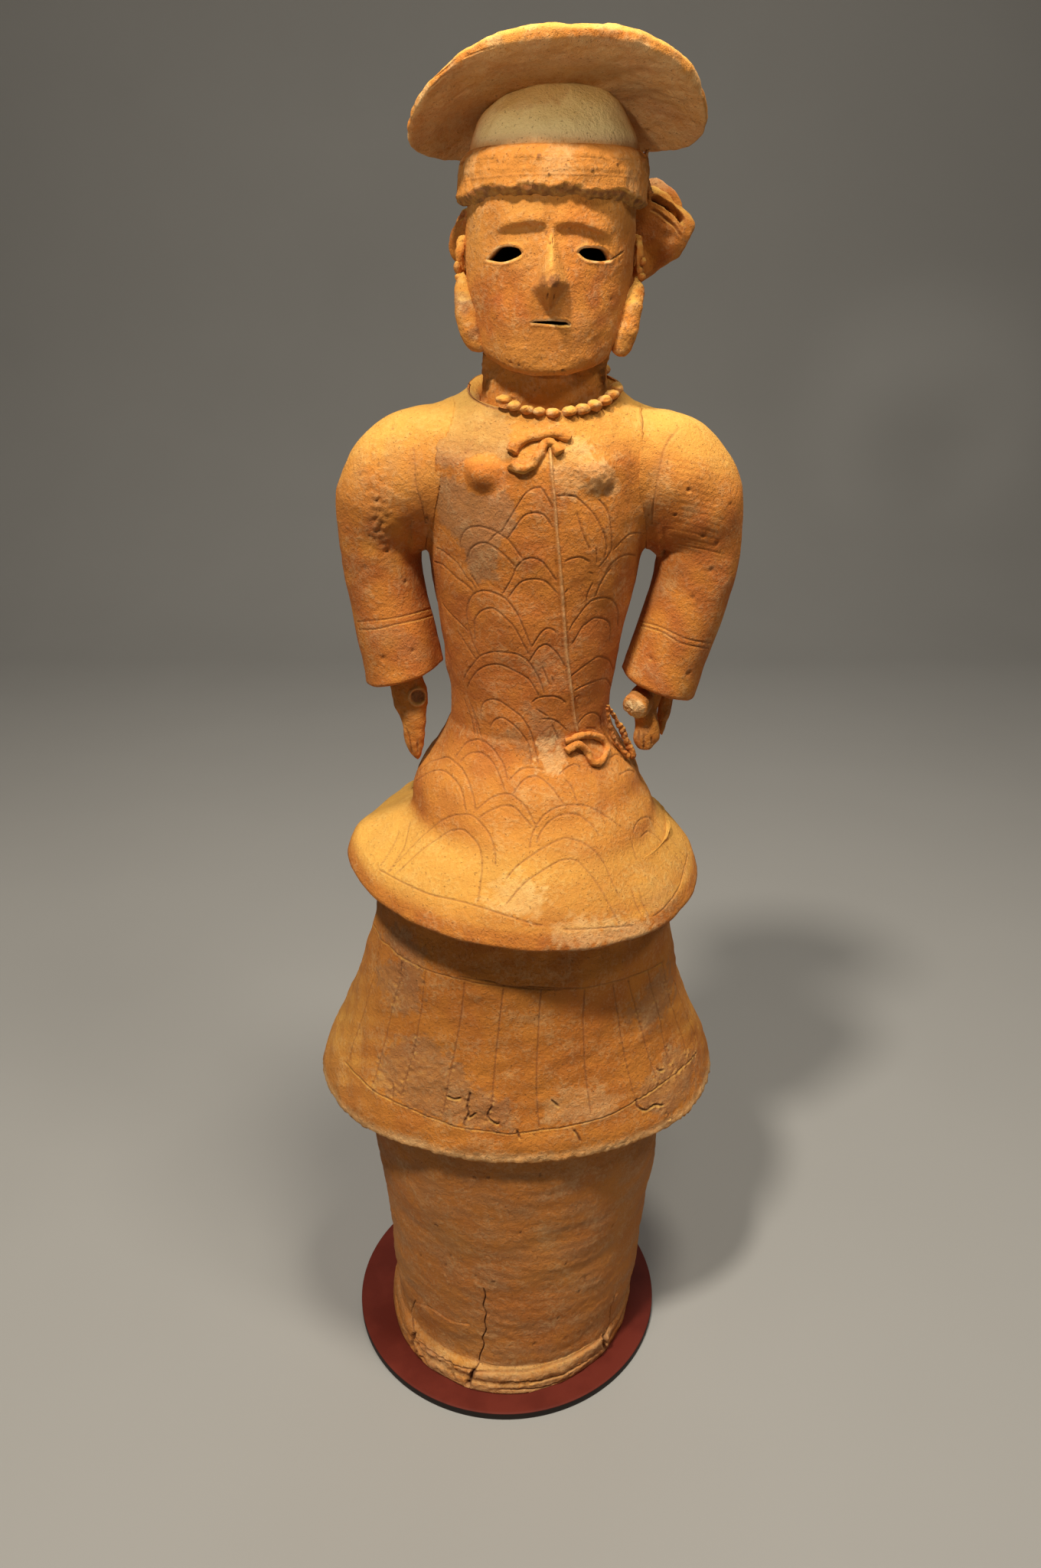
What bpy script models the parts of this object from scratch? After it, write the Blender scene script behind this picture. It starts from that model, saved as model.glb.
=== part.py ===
# An ancient fired-clay figure of a standing court lady, hollow from its open foot to the crown,
# standing on its own round red board. Metres, +Z up, the figure's face towards -Y.
#
# The figure is drawn upright about x = 0 at the height FIGURE_DRAWN, with heights counted from its
# foot. The last step scales it to FIGURE_HEIGHT, leans it as the old clay leans, and stands it on the board.
import math

import bmesh
import bpy
import numpy as np
from mathutils import Matrix, Vector

# Driving dimensions
FIGURE_HEIGHT = 1.257       # foot to the top of the hair
WALL = 0.015                # fired clay wall of the body
HEAD_WALL = 0.012
SLEEVE_WALL = 0.009
BOARD_RADIUS = 0.1733
BOARD_THICKNESS = 0.009
BOARD_BEVEL = 0.0008
GAP = 0.0003                # between the foot and the board

FIGURE_DRAWN = 1.257        # the height at which the outlines below were drawn
SIDES = 32                  # round the body
HOLLOW_SIDES = 16

# How far the clay has leaned to +X at a few heights: (height, offset)
LEAN = [(0.0, 0.0035), (0.02, 0.0065), (0.04, 0.0102), (0.07, 0.0105), (0.14, 0.0118), (0.22, 0.0126),
        (0.35, 0.0118), (0.45, 0.0145), (0.50, 0.0178), (0.54, 0.0200), (0.60, 0.0183), (0.625, 0.0215),
        (0.645, 0.0265), (0.668, 0.0230), (0.73, 0.0245), (0.92, 0.0308), (0.99, 0.0330), (1.03, 0.0370),
        (1.10, 0.0385), (1.27, 0.0465)]

# Outlines of the body: (height, half width, front depth, back depth)
BASE = [(0.0, 0.1350, 0.139, 0.137), (0.04, 0.1350, 0.139, 0.137), (0.07, 0.1400, 0.140, 0.138),
        (0.14, 0.1447, 0.142, 0.140), (0.19, 0.1485, 0.144, 0.142), (0.24, 0.1545, 0.147, 0.145),
        (0.32, 0.1580, 0.149, 0.147), (0.47, 0.149, 0.140, 0.138)]
SKIRT = [(0.333, 0.2070, 0.1615, 0.158), (0.346, 0.2045, 0.161, 0.157), (0.372, 0.197, 0.157, 0.153),
         (0.411, 0.1785, 0.151, 0.147), (0.449, 0.1645, 0.146, 0.142), (0.486, 0.1555, 0.142, 0.138),
         (0.533, 0.146, 0.139, 0.135), (0.620, 0.141, 0.134, 0.130)]
PEPLUM = [(0.587, 0.1715, 0.171, 0.165), (0.601, 0.1660, 0.166, 0.159), (0.625, 0.1360, 0.146, 0.138),
          (0.642, 0.1170, 0.128, 0.120), (0.660, 0.1095, 0.114, 0.108), (0.680, 0.1020, 0.101, 0.097),
          (0.700, 0.088, 0.087, 0.083), (0.715, 0.0790, 0.078, 0.074), (0.729, 0.0732, 0.0740, 0.0695)]
TORSO = [(0.729, 0.0732, 0.0740, 0.0695), (0.751, 0.0731, 0.0740, 0.0695), (0.781, 0.0771, 0.0760, 0.0715),
         (0.839, 0.0865, 0.0800, 0.0750), (0.894, 0.0948, 0.0840, 0.0795), (0.935, 0.0995, 0.0855, 0.082),
         (0.965, 0.1000, 0.083, 0.079), (0.985, 0.093, 0.076, 0.072), (1.001, 0.080, 0.0680, 0.0655),
         (1.017, 0.063, 0.0600, 0.0575)]
HEAD = [(1.0305, 0.016, 0.066, -0.040), (1.035, 0.034, 0.0695, -0.015), (1.0435, 0.0480, 0.0705, 0.005),
        (1.055, 0.0555, 0.071, 0.028), (1.070, 0.0605, 0.0715, 0.045), (1.0914, 0.0655, 0.0715, 0.056),
        (1.1132, 0.0672, 0.071, 0.062), (1.150, 0.0667, 0.0695, 0.064), (1.183, 0.066, 0.066, 0.064)]

# Flared hems
SKIRT_EDGE = 0.012          # thickness of the skirt's hem
PEPLUM_EDGE = 0.011
SKIRT_UNDER = 2.6           # how steeply the hollow under each hem rises towards the body
PEPLUM_UNDER = 1.5
PEPLUM_TILT = (-0.08, 0.07)  # rise of the jacket's hem for each metre along X and Y
COLLAR_TILT = 0.25          # the collar sinks towards the front

# Foot moulding
ROLL_HEIGHT = 0.028
ROLL_PROUD = 0.0105
ROLL_SIDES = 0.32           # how much less it stands out at the two sides

# Crown, headband and hair
CROWN_BASE = HEAD[-1][0]
CROWN_RISE = 0.0555
BAND = [(1.1575, 0.0030), (1.160, 0.0062), (1.172, 0.0068), (1.184, 0.0060), (1.187, 0.0030)]  # height, proud
CROWN_RINGS = (0.27, 0.52, 0.74, 0.90, 0.98)  # shares of the crown's rise
CROWN_HOLLOW_RINGS = (0.22, 0.52, 0.70)
HAIR_HALF_WIDTH = 0.1128
HAIR_FRONT = -0.1034
HAIR_BACK = 0.0785
HAIR_MIDDLE = 0.0023        # where the slab droops least
HAIR_THICK = 0.020
HAIR_OVER_CROWN = 0.0108    # middle of the slab at its front edge, above the top of the crown
HAIR_TOP = CROWN_BASE + CROWN_RISE + HAIR_OVER_CROWN
HAIR_FALL = 1.80            # how the slab sinks backwards, for each square metre
HAIR_DROOP = 22.3           # how its sides droop, for each cubic metre
HAIR_ROLL = 0.0164          # and how it rises towards +X
BAG_CENTRE = (0.0175, 0.066, 1.1335)
BAG_HALF = (0.103, 0.028, 0.0475)
BAG_WALL = 0.009
BAG_TILT = math.radians(3.0)

# Sleeves: (x, height, radius) from the shoulder down as far as the elbow, on the left and on the right
SLEEVE = {-1: [(0.030, 0.958, 0.0410), (0.077, 0.957, 0.0470), (0.1085, 0.946, 0.0522), (0.1300, 0.920, 0.0465),
               (0.1372, 0.888, 0.0355), (0.1305, 0.840, 0.0340)],
          1: [(0.030, 0.958, 0.0410), (0.077, 0.955, 0.0465), (0.108, 0.945, 0.0517), (0.1330, 0.918, 0.0472),
              (0.1435, 0.885, 0.0360), (0.1378, 0.840, 0.0362)]}
LEFT_CUFF = (-0.1175, 0.7730, 0.0350)
RIGHT_CUFF = (0.1180, 0.7620, 0.0357)
CUFF_SLANT = {-1: math.radians(14.0), 1: math.radians(21.0)}
SLEEVE_HOLLOW_RISE = 0.025   # how far the hollow of a sleeve goes up past the elbow
SLEEVE_HOLLOW_TOP = SLEEVE[1][-1][1] + SLEEVE_HOLLOW_RISE
SLEEVE_Y = -0.004

# Face
EYES = [(-0.0345, 1.1160, math.radians(7.0)), (0.0330, 1.1160, math.radians(-7.0))]
EYE_HALF_WIDTH = 0.0128
EYE_HALF_HEIGHT = 0.0052
MOUTH = (0.0018, 1.0688, 0.0143, 0.0014)  # x, height, half width, half height
NOSE = [(1.1345, 0.0030, 0.0020), (1.116, 0.0065, 0.0115), (1.0985, 0.0120, 0.0235),
        (1.0925, 0.0140, 0.0190), (1.0755, 0.0020, 0.0010)]  # height, half width, proud
BROWS = [(-1, 0.0425, 0.0085), (1, 0.0425, 0.0080)]  # side, outer end, inner end

# Ties: (x, height) along the strand, laid on the front of the jacket
CHEST_TIE = [(0.0214, 0.9836), (0.0111, 0.9889), (-0.0002, 0.9878), (-0.0150, 0.9834), (-0.0238, 0.9777),
             (-0.0262, 0.9727), (-0.0240, 0.9668), (-0.0150, 0.9633), (-0.0084, 0.9645), (-0.0032, 0.9702),
             (-0.0005, 0.9785), (0.0035, 0.9832), (0.0090, 0.9800), (0.0124, 0.9745)]
CHEST_STRAND = 0.0040
WAIST_TIE = [(0.0300, 0.7280), (0.0390, 0.7308), (0.0480, 0.7295), (0.0580, 0.7259), (0.0665, 0.7175),
             (0.0682, 0.7102), (0.0660, 0.7045), (0.0620, 0.7015), (0.0575, 0.7060), (0.0535, 0.7115),
             (0.0485, 0.7210), (0.0420, 0.7240), (0.0340, 0.7180)]
WAIST_STRAND = 0.0036
JACKET_EDGE = [(0.0046, 0.9950), (0.0039, 0.9900), (0.0072, 0.9700), (0.0128, 0.9229), (0.0192, 0.8637),
               (0.0278, 0.8044), (0.0372, 0.7371), (0.0372, 0.7330)]
EDGE_PROUD = 0.0022
HIP_STRAP = [[(0.0740, 0.7360, 0.006), (0.0765, 0.7230, 0.006), (0.0835, 0.7080, 0.008),
              (0.0920, 0.6950, 0.010), (0.1020, 0.6800, 0.012)],
             [(0.0745, 0.7340, 0.012), (0.0830, 0.7250, 0.013), (0.0900, 0.7120, 0.014),
              (0.0975, 0.6960, 0.013), (0.1030, 0.6800, 0.012)]]
STRAP_RADIUS = 0.0042
BREASTS = [(-0.0497, 0.9560, 0.0150), (0.0478, 0.9510, 0.0140)]

# Necklace, ears and their drops
BEADS = 19
BEAD_ARC = (math.radians(-172.0), math.radians(-6.0))  # round the neck, -90 is the front
BEAD_GAP = (math.radians(-163.0), math.radians(-143.0))  # lost beads
BEAD_HALF = (0.0065, 0.0058, 0.0048)
BEAD_OFF_NECK = 0.0062      # from the skin of the neck to the middle of a bead
EAR_SHARE = 0.554           # the ears' level as a share of the head's height
EAR_HEIGHT = HEAD[0][0] + EAR_SHARE * (HEAD[-1][0] - HEAD[0][0])
EAR_DROPS = [
    # side, bead places (x, below the ear's middle), drop centre (x, y, below), half sizes, turn about Y
    (-1, [(-0.0735, 0.0070), (-0.0725, 0.0140)], (-0.0640, -0.0300, 0.0430), (0.0105, 0.0075, 0.0320), 0.30),
    (1, [(0.0765, 0.0030), (0.0755, 0.0090), (0.0760, 0.0150)], (0.0610, -0.0300, 0.0450),
     (0.0105, 0.0075, 0.0310), -0.24)]
EAR_BEAD = 0.0045
EAR_RADIUS = 0.0125
EAR_STRAND = 0.0034

# Hands: (x, y, height, half width, half thickness) from inside the sleeve to the tip
LEFT_HAND = [(-0.1325, -0.004, 0.872, 0.013, 0.012), (-0.1210, -0.006, 0.790, 0.0140, 0.012),
             (-0.1180, -0.010, 0.765, 0.0175, 0.012), (-0.1125, -0.014, 0.746, 0.0165, 0.012),
             (-0.1095, -0.016, 0.726, 0.0122, 0.010), (-0.1080, -0.018, 0.711, 0.0098, 0.008),
             (-0.1060, -0.019, 0.695, 0.0070, 0.006), (-0.1050, -0.019, 0.686, 0.0030, 0.003)]
RIGHT_HAND = [(0.1375, -0.004, 0.872, 0.013, 0.012), (0.1235, -0.004, 0.785, 0.0150, 0.013),
              (0.1160, -0.006, 0.758, 0.0175, 0.014), (0.1140, -0.008, 0.744, 0.0175, 0.014),
              (0.1120, -0.014, 0.728, 0.0150, 0.014), (0.1100, -0.020, 0.712, 0.0130, 0.012),
              (0.1090, -0.023, 0.701, 0.0122, 0.009), (0.1085, -0.024, 0.6955, 0.0090, 0.005)]
THUMB = [(0.1080, -0.006, 0.7500), (0.0985, -0.020, 0.7450), (0.0915, -0.034, 0.7370)]
THUMB_RADIUS = 0.0098

# Colours from the photograph, as linear values
CLAY_COLOUR = (0.52, 0.21, 0.07, 1.0)
BOARD_COLOUR = (0.16, 0.035, 0.022, 1.0)


def clear_scene():
    for obj in list(bpy.data.objects):
        bpy.data.objects.remove(obj, do_unlink=True)


def new_collection(name):
    collection = bpy.data.collections.new(name)
    bpy.context.scene.collection.children.link(collection)
    return collection


def new_material(name, colour, roughness):
    material = bpy.data.materials.new(name)
    material.use_nodes = True
    shader = material.node_tree.nodes["Principled BSDF"]
    shader.inputs["Base Color"].default_value = colour
    shader.inputs["Roughness"].default_value = roughness
    shader.inputs["Metallic"].default_value = 0.0
    material.diffuse_color = colour
    return material


def smooth(table, height):
    """Each column of the table at a height, along a smooth curve that doesn't overshoot the rows."""
    rows = np.array(table, float)
    x, y = rows[:, 0], rows[:, 1:]
    step = np.diff(x)[:, None]
    slope = np.diff(y, axis=0) / step
    inner = np.where(slope[:-1] * slope[1:] > 0.0,
                     2.0 * slope[:-1] * slope[1:] / (slope[:-1] + slope[1:] + 1e-12), 0.0)
    tangent = np.vstack([slope[:1], inner, slope[-1:]])
    height = min(max(height, x[0]), x[-1])
    i = min(max(int(np.searchsorted(x, height)) - 1, 0), len(x) - 2)
    t = (height - x[i]) / (x[i + 1] - x[i])
    return (y[i] * (1 + 2 * t) * (1 - t) ** 2 + y[i + 1] * t * t * (3 - 2 * t)
            + step[i] * (tangent[i] * t * (1 - t) ** 2 - tangent[i + 1] * t * t * (1 - t)))


def circle(sides):
    return 2.0 * math.pi * (np.arange(sides) + 0.5) / sides


def ring(height, half_width, front, back, sides=SIDES, power=2.0):
    """One level section: an oval that runs from -front to +back, squarer with a power over 2."""
    angle = circle(sides)
    c, s = np.cos(angle), np.sin(angle)
    x = half_width * np.sign(c) * np.abs(c) ** (2.0 / power)
    y = (back - front) / 2.0 + (back + front) / 2.0 * np.sign(s) * np.abs(s) ** (2.0 / power)
    return np.column_stack([x, y, np.full(sides, height)])


def grown(points, amount):
    """The same section with every point moved out from its middle by the amount, or in when it is negative."""
    middle = points.mean(axis=0)
    away = points - middle
    length = np.linalg.norm(away[:, :2], axis=1)[:, None]
    moved = points.copy()
    moved[:, :2] += away[:, :2] / length * amount
    return moved


def sections(table, heights, sides=SIDES, grow=0.0, power=2.0):
    return [grown(ring(h, *smooth(table, h), sides=sides, power=power), grow) for h in heights]


def tilted(points, weight, tilt_x, tilt_y):
    moved = points.copy()
    moved[:, 2] += weight * (tilt_x * points[:, 0] + tilt_y * points[:, 1])
    return moved


def finish_mesh(mesh, name, collection):
    bmesh.ops.recalc_face_normals(mesh, faces=mesh.faces)
    data = bpy.data.meshes.new(name)
    mesh.to_mesh(data)
    mesh.free()
    obj = bpy.data.objects.new(name, data)
    collection.objects.link(obj)
    return obj


def loft(name, rings, collection):
    """Skins a stack of closed sections, bottom to top, and caps both ends."""
    mesh = bmesh.new()
    rows = [[mesh.verts.new(Vector(point)) for point in points] for points in rings]
    for lower, upper in zip(rows, rows[1:]):
        for i in range(len(lower)):
            j = (i + 1) % len(lower)
            mesh.faces.new((lower[i], lower[j], upper[j], upper[i]))
    mesh.faces.new(list(reversed(rows[0])))
    mesh.faces.new(rows[-1])
    return finish_mesh(mesh, name, collection)


def ball(name, centre, half, collection, turn=None, u=8, v=6):
    """An ellipsoid from the sphere primitive."""
    mesh = bmesh.new()
    bmesh.ops.create_uvsphere(mesh, u_segments=u, v_segments=v, radius=1.0)
    place = Matrix.Translation(centre) @ (turn or Matrix.Identity(4)) @ Matrix.Diagonal((*half, 1.0))
    bmesh.ops.transform(mesh, matrix=place, verts=mesh.verts)
    return finish_mesh(mesh, name, collection)


def strand(name, points, radius, collection, resolution=1, steps=2):
    """A rolled clay strand: a smooth curve with a round bevel and filled ends, turned into a mesh."""
    curve = bpy.data.curves.new(name, "CURVE")
    curve.dimensions = "3D"
    curve.bevel_depth = radius
    curve.bevel_resolution = resolution
    curve.use_fill_caps = True
    curve.resolution_u = steps
    spline = curve.splines.new("NURBS")
    spline.points.add(len(points) - 1)
    for point, place in zip(spline.points, points):
        point.co = (*place, 1.0)
    spline.use_endpoint_u = True
    spline.order_u = 3
    helper = bpy.data.objects.new(name + "_path", curve)
    collection.objects.link(helper)
    data = bpy.data.meshes.new_from_object(helper)
    bpy.data.objects.remove(helper)
    mesh = bmesh.new()
    mesh.from_mesh(data)
    bpy.data.meshes.remove(data)
    bmesh.ops.remove_doubles(mesh, verts=mesh.verts, dist=0.00001)
    return finish_mesh(mesh, name, collection)


def along(path, sides, last_tilt=0.0):
    """Round sections square to a path of (point, radius) that stays in an X-Z plane."""
    rings = []
    angle = circle(sides)
    for i, (point, radius) in enumerate(path):
        before = np.array(path[max(i - 1, 0)][0])
        after = np.array(path[min(i + 1, len(path) - 1)][0])
        way = (after - before) / np.linalg.norm(after - before)
        across = np.array([way[2], 0.0, -way[0]])
        if i == len(path) - 1 and last_tilt:
            side = math.copysign(1.0, across[0])
            across = np.array([math.cos(last_tilt) * side, 0.0, math.sin(last_tilt) * side])
        deep = np.array([0.0, 1.0, 0.0])
        rings.append(np.array(point) + radius * (np.outer(np.cos(angle), across) + np.outer(np.sin(angle), deep)))
    return rings


def front_table(height):
    return PEPLUM if height < TORSO[0][0] else TORSO


def on_front(x, height, lift):
    """The point of the jacket's front at a place across and up, lifted off the clay."""
    half_width, front, back = smooth(front_table(height), height)
    middle, half = (back - front) / 2.0, (back + front) / 2.0
    y = middle - half * math.sqrt(max(1.0 - (x / half_width) ** 2, 0.02))
    out = Vector((x / half_width ** 2, (y - middle) / half ** 2, 0.0)).normalized()
    return Vector((x, y, height)) + out * lift


def hem_underside(body_table, body_height, edge, slope):
    """The top of the hollow under a hem: on the body, the higher the wider the hollow is there."""
    points = ring(body_height, *smooth(body_table, body_height))
    width = np.linalg.norm(edge[:, :2], axis=1) - np.linalg.norm(points[:, :2], axis=1)
    points[:, 2] = edge[:, 2] + slope * np.maximum(width, 0.002)
    return points


def peplum_weight(height):
    return min(max((0.675 - height) / 0.070, 0.0), 1.0) ** 2


def collar_weight(height):
    return min(max((height - 0.950) / 0.067, 0.0), 1.0)


def foot_sections():
    """The coil round the foot: a thick lower layer, a groove and a thinner upper one."""
    profile = [(0.0, 0.96), (0.009, 1.0), (0.0125, 0.81), (0.0225, 0.78), (0.0285, 0.1)]
    rings = []
    for height, share in profile:
        points = ring(height * ROLL_HEIGHT / 0.028, *smooth(BASE, height))
        rings.append(grown(points, share * ROLL_PROUD * (1.0 - ROLL_SIDES * np.cos(circle(SIDES)) ** 2)[:, None]))
    return rings


def body_outside():
    """The body from the foot to the collar as one stack of sections, with both flared hems."""
    rings = foot_sections() + sections(BASE, [0.06, 0.16, 0.25])
    skirt_edge = ring(SKIRT[0][0], *SKIRT[0][1:])
    skirt_inner = grown(skirt_edge, -SKIRT_EDGE)
    rings += [hem_underside(BASE, 0.36, skirt_inner, SKIRT_UNDER), skirt_inner]
    rings += [grown(ring(SKIRT[0][0] - 0.002, *SKIRT[0][1:]), -0.003), grown(ring(0.338, *SKIRT[0][1:]), 0.0)]
    rings += sections(SKIRT, [0.350, 0.372, 0.400, 0.430, 0.465, 0.505, 0.550])
    peplum_edge = tilted(ring(PEPLUM[0][0], *PEPLUM[0][1:]), 1.0, *PEPLUM_TILT)
    peplum_inner = grown(peplum_edge, -PEPLUM_EDGE)
    peplum_inner[:, 2] -= 0.004
    rings += [hem_underside(SKIRT, 0.59, peplum_inner, PEPLUM_UNDER), peplum_inner]
    lip = grown(peplum_edge, -0.003)
    lip[:, 2] -= 0.004
    rings += [lip]
    for height in [0.586, 0.602, 0.625, 0.645, 0.665, 0.688, 0.708, 0.729]:
        level = ring(height, *smooth(PEPLUM, height))
        rings.append(tilted(level, peplum_weight(height), *PEPLUM_TILT))
    for height in [0.760, 0.800, 0.850, 0.900, 0.940, 0.965, 0.985, 1.001, 1.017]:
        level = ring(height, *smooth(TORSO, height))
        rings.append(tilted(level, collar_weight(height), 0.0, COLLAR_TILT))
    return rings


def crown_half_width(height):
    return 0.066 * math.sqrt(max(1.0 - (height - CROWN_BASE) / CROWN_RISE, 0.0))


def head_outside(sides=28):
    rings = [ring(*row, sides=sides, power=2.25) for row in HEAD]
    for share in CROWN_RINGS:
        height = CROWN_BASE + CROWN_RISE * share
        half = crown_half_width(height)
        rings.append(ring(height, half, half, half * 0.97, sides=sides))
    return rings


def hollow_sections():
    """The inside of the body, a wall's thickness in from the outside, open at the foot."""
    wall = WALL * FIGURE_DRAWN / FIGURE_HEIGHT
    head_wall = HEAD_WALL * FIGURE_DRAWN / FIGURE_HEIGHT
    tube = BASE[:-1] + [(0.45, 0.148, 0.139, 0.137), (0.56, 0.143, 0.136, 0.129), (0.61, 0.134, 0.130, 0.124),
                        (0.645, 0.110, 0.117, 0.112), (0.68, 0.096, 0.096, 0.092), (0.71, 0.0800, 0.0790, 0.0750),
                        (0.729, 0.0732, 0.0740, 0.0695)]
    rings = [grown(ring(-0.02, *BASE[0][1:], sides=HOLLOW_SIDES), -wall)]
    rings += sections(tube, [0.04, 0.14, 0.24, 0.34, 0.45, 0.55, 0.61, 0.64, 0.67, 0.70, 0.729],
                      HOLLOW_SIDES, -wall)
    rings += sections(TORSO, [0.79, 0.86, 0.93, 0.955], HOLLOW_SIDES, -wall)
    rings += sections(NECK, [0.985, 1.01, 1.035], HOLLOW_SIDES, -head_wall)
    rings += sections(HEAD, [1.060, 1.080, 1.12, 1.17], HOLLOW_SIDES, -head_wall, power=2.25)
    for share in CROWN_HOLLOW_RINGS:
        height = CROWN_BASE + CROWN_RISE * share
        half = crown_half_width(height + head_wall / 2.0) - head_wall * 0.6
        rings.append(ring(height, half, half, half, sides=HOLLOW_SIDES))
    return rings


NECK = [(0.985, 0.0535, 0.0530, 0.0520), (1.02, 0.0520, 0.0515, 0.0505), (1.06, 0.0515, 0.0505, 0.0500)]


def hair_height(x, y):
    """Height of the middle of the hair slab: it sinks backwards and droops at the sides."""
    droop = HAIR_DROOP * abs(x - HAIR_MIDDLE) ** 3
    return HAIR_TOP - HAIR_FALL * (y - HAIR_FRONT) ** 2 - droop + HAIR_ROLL * x


def make_hair(collection):
    """The hair: a thick oval slab with a rounded rim, bent like a saddle over the crown."""
    mesh = bmesh.new()
    bmesh.ops.create_uvsphere(mesh, u_segments=30, v_segments=8, radius=1.0)
    for vertex in mesh.verts:
        x, y, z = vertex.co
        reach = math.hypot(x, y)
        across = reach ** 0.55 / reach if reach > 1e-6 else 0.0
        rise = math.copysign(abs(z) ** 0.62, z) * HAIR_THICK / 2.0
        x = x * across * HAIR_HALF_WIDTH
        y = y * across * (HAIR_BACK - HAIR_FRONT) / 2.0 + (HAIR_BACK + HAIR_FRONT) / 2.0
        vertex.co = (x, y, hair_height(x, y) + rise)
    return finish_mesh(mesh, "hair_slab", collection)


def make_bag(added, hollows):
    """The gathered hair behind the head: a flat bag with a long slot along its top."""
    turn = Matrix.Rotation(-BAG_TILT, 4, "Y")
    ball("hair_bag", BAG_CENTRE, BAG_HALF, added, turn, u=16, v=8)
    inner = Vector(BAG_CENTRE) + Vector((0.0, 0.006, 0.013))
    half = (BAG_HALF[0] - BAG_WALL, BAG_HALF[1] - 0.014, BAG_HALF[2] - 0.006)
    ball("bag_slot", inner, half, hollows, turn, u=12, v=6)


def make_band(collection):
    """The headband, proud of the head all round."""
    rings = [ring(BAND[0][0], 0.060, 0.060, 0.058, sides=28, power=2.25)]
    rings += [grown(ring(h, *smooth(HEAD, h), sides=28, power=2.25), proud) for h, proud in BAND]
    rings += [ring(BAND[-1][0] + 0.0005, 0.060, 0.060, 0.058, sides=28, power=2.25)]
    return loft("headband", rings, collection)


def head_front(x, height):
    half_width, front, back = smooth(HEAD, height)
    middle, half = (back - front) / 2.0, (back + front) / 2.0
    return middle - half * max(1.0 - abs(x / half_width) ** 2.25, 0.0) ** (1.0 / 2.25)


def make_nose(collection):
    """A pinched ridge that stands out to a blunt tip and cuts back to the upper lip."""
    rings = []
    for height, half_width, proud in NOSE:
        y = head_front(0.0, height)
        tip = half_width * 0.35
        points = [(-half_width, y + 0.006, height), (-half_width, y + 0.001, height),
                  (-tip, y - proud, height), (tip, y - proud, height),
                  (half_width, y + 0.001, height), (half_width, y + 0.006, height)]
        rings.append(np.array(points) + np.array([0.0012, 0.0, 0.0]))
    return loft("nose", list(reversed(rings)), collection)


def make_brows(collection):
    for side, outer, inner in BROWS:
        points = []
        for t in np.linspace(0.0, 1.0, 5):
            x = side * (inner + (outer - inner) * t)
            height = 1.1385 + 0.0015 * math.sin(math.pi * t) - 0.0035 * t * t
            points.append((x, head_front(x, height) + 0.0012, height))
        strand("brow", points, 0.0036, collection, resolution=1, steps=1)


def cut_face(hollows):
    """Cutters for the almond eyes and the straight mouth, right through the wall."""
    for x, height, turn in EYES:
        place = Matrix.Translation((x, -0.062, height)) @ Matrix.Rotation(turn, 4, "Y")
        mesh = bmesh.new()
        bmesh.ops.create_cone(mesh, cap_ends=True, segments=12, radius1=1.0, radius2=1.0, depth=1.0)
        bmesh.ops.rotate(mesh, verts=mesh.verts, matrix=Matrix.Rotation(math.pi / 2, 3, "X"))
        half = Matrix.Diagonal((EYE_HALF_WIDTH, 0.044, EYE_HALF_HEIGHT, 1.0))
        bmesh.ops.transform(mesh, matrix=place @ half, verts=mesh.verts)
        finish_mesh(mesh, "eye", hollows)
    x, height, half_width, half_height = MOUTH
    mesh = bmesh.new()
    bmesh.ops.create_cube(mesh, size=2.0)
    place = Matrix.Translation((x, -0.062, height)) @ Matrix.Diagonal((half_width, 0.022, half_height, 1.0))
    bmesh.ops.transform(mesh, matrix=place, verts=mesh.verts)
    finish_mesh(mesh, "mouth", hollows)


def make_ears(collection):
    """Small ear loops with round beads and long flat drops along the jaw."""
    for side, beads, drop, half, turn in EAR_DROPS:
        loop = []
        for t in np.linspace(math.radians(-100), math.radians(100), 8):
            loop.append((side * (0.0655 + EAR_RADIUS * 0.75 * math.cos(t)), -0.006,
                         EAR_HEIGHT + EAR_RADIUS * math.sin(t)))
        strand("ear", loop, EAR_STRAND, collection, resolution=1, steps=1)
        for x, below in beads:
            place = (x - side * 0.0040, -0.008, EAR_HEIGHT - below)
            ball("ear_bead", place, (EAR_BEAD,) * 3, collection, u=6, v=5)
        place = (drop[0], drop[1], EAR_HEIGHT - drop[2])
        ball("ear_drop", place, half, collection, Matrix.Rotation(-turn, 4, "Y"), u=9, v=6)


def make_necklace(collection):
    """Beads side by side round the neck, with the gap of the lost ones."""
    for i in range(BEADS):
        angle = BEAD_ARC[0] + (BEAD_ARC[1] - BEAD_ARC[0]) * i / (BEADS - 1)
        if BEAD_GAP[0] < angle < BEAD_GAP[1]:
            continue
        half_width, front, back = smooth(NECK, TORSO[-1][0])
        x, y = (half_width + BEAD_OFF_NECK) * math.cos(angle), (front + BEAD_OFF_NECK) * math.sin(angle)
        height = TORSO[-1][0] + COLLAR_TILT * y * 0.98
        turn = Matrix.Rotation(angle + math.pi / 2, 4, "Z")
        ball("neck_bead", (x, y, height), BEAD_HALF, collection, turn, u=6, v=4)


def make_ties(collection):
    chest = [on_front(x, h, CHEST_STRAND * 0.35) for x, h in CHEST_TIE]
    strand("chest_tie", chest, CHEST_STRAND, collection, steps=1)
    waist = [on_front(x, h, WAIST_STRAND * 0.35) for x, h in WAIST_TIE]
    strand("waist_tie", waist, WAIST_STRAND, collection, steps=1)
    edge = [on_front(x, h, -0.0016) for x, h in JACKET_EDGE]
    strand("jacket_edge", edge, 0.0016 + EDGE_PROUD, collection, resolution=0, steps=1)
    for points in HIP_STRAP:
        strand("hip_strap", [(x, y, h) for x, h, y in points], STRAP_RADIUS, collection, steps=1)


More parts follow.
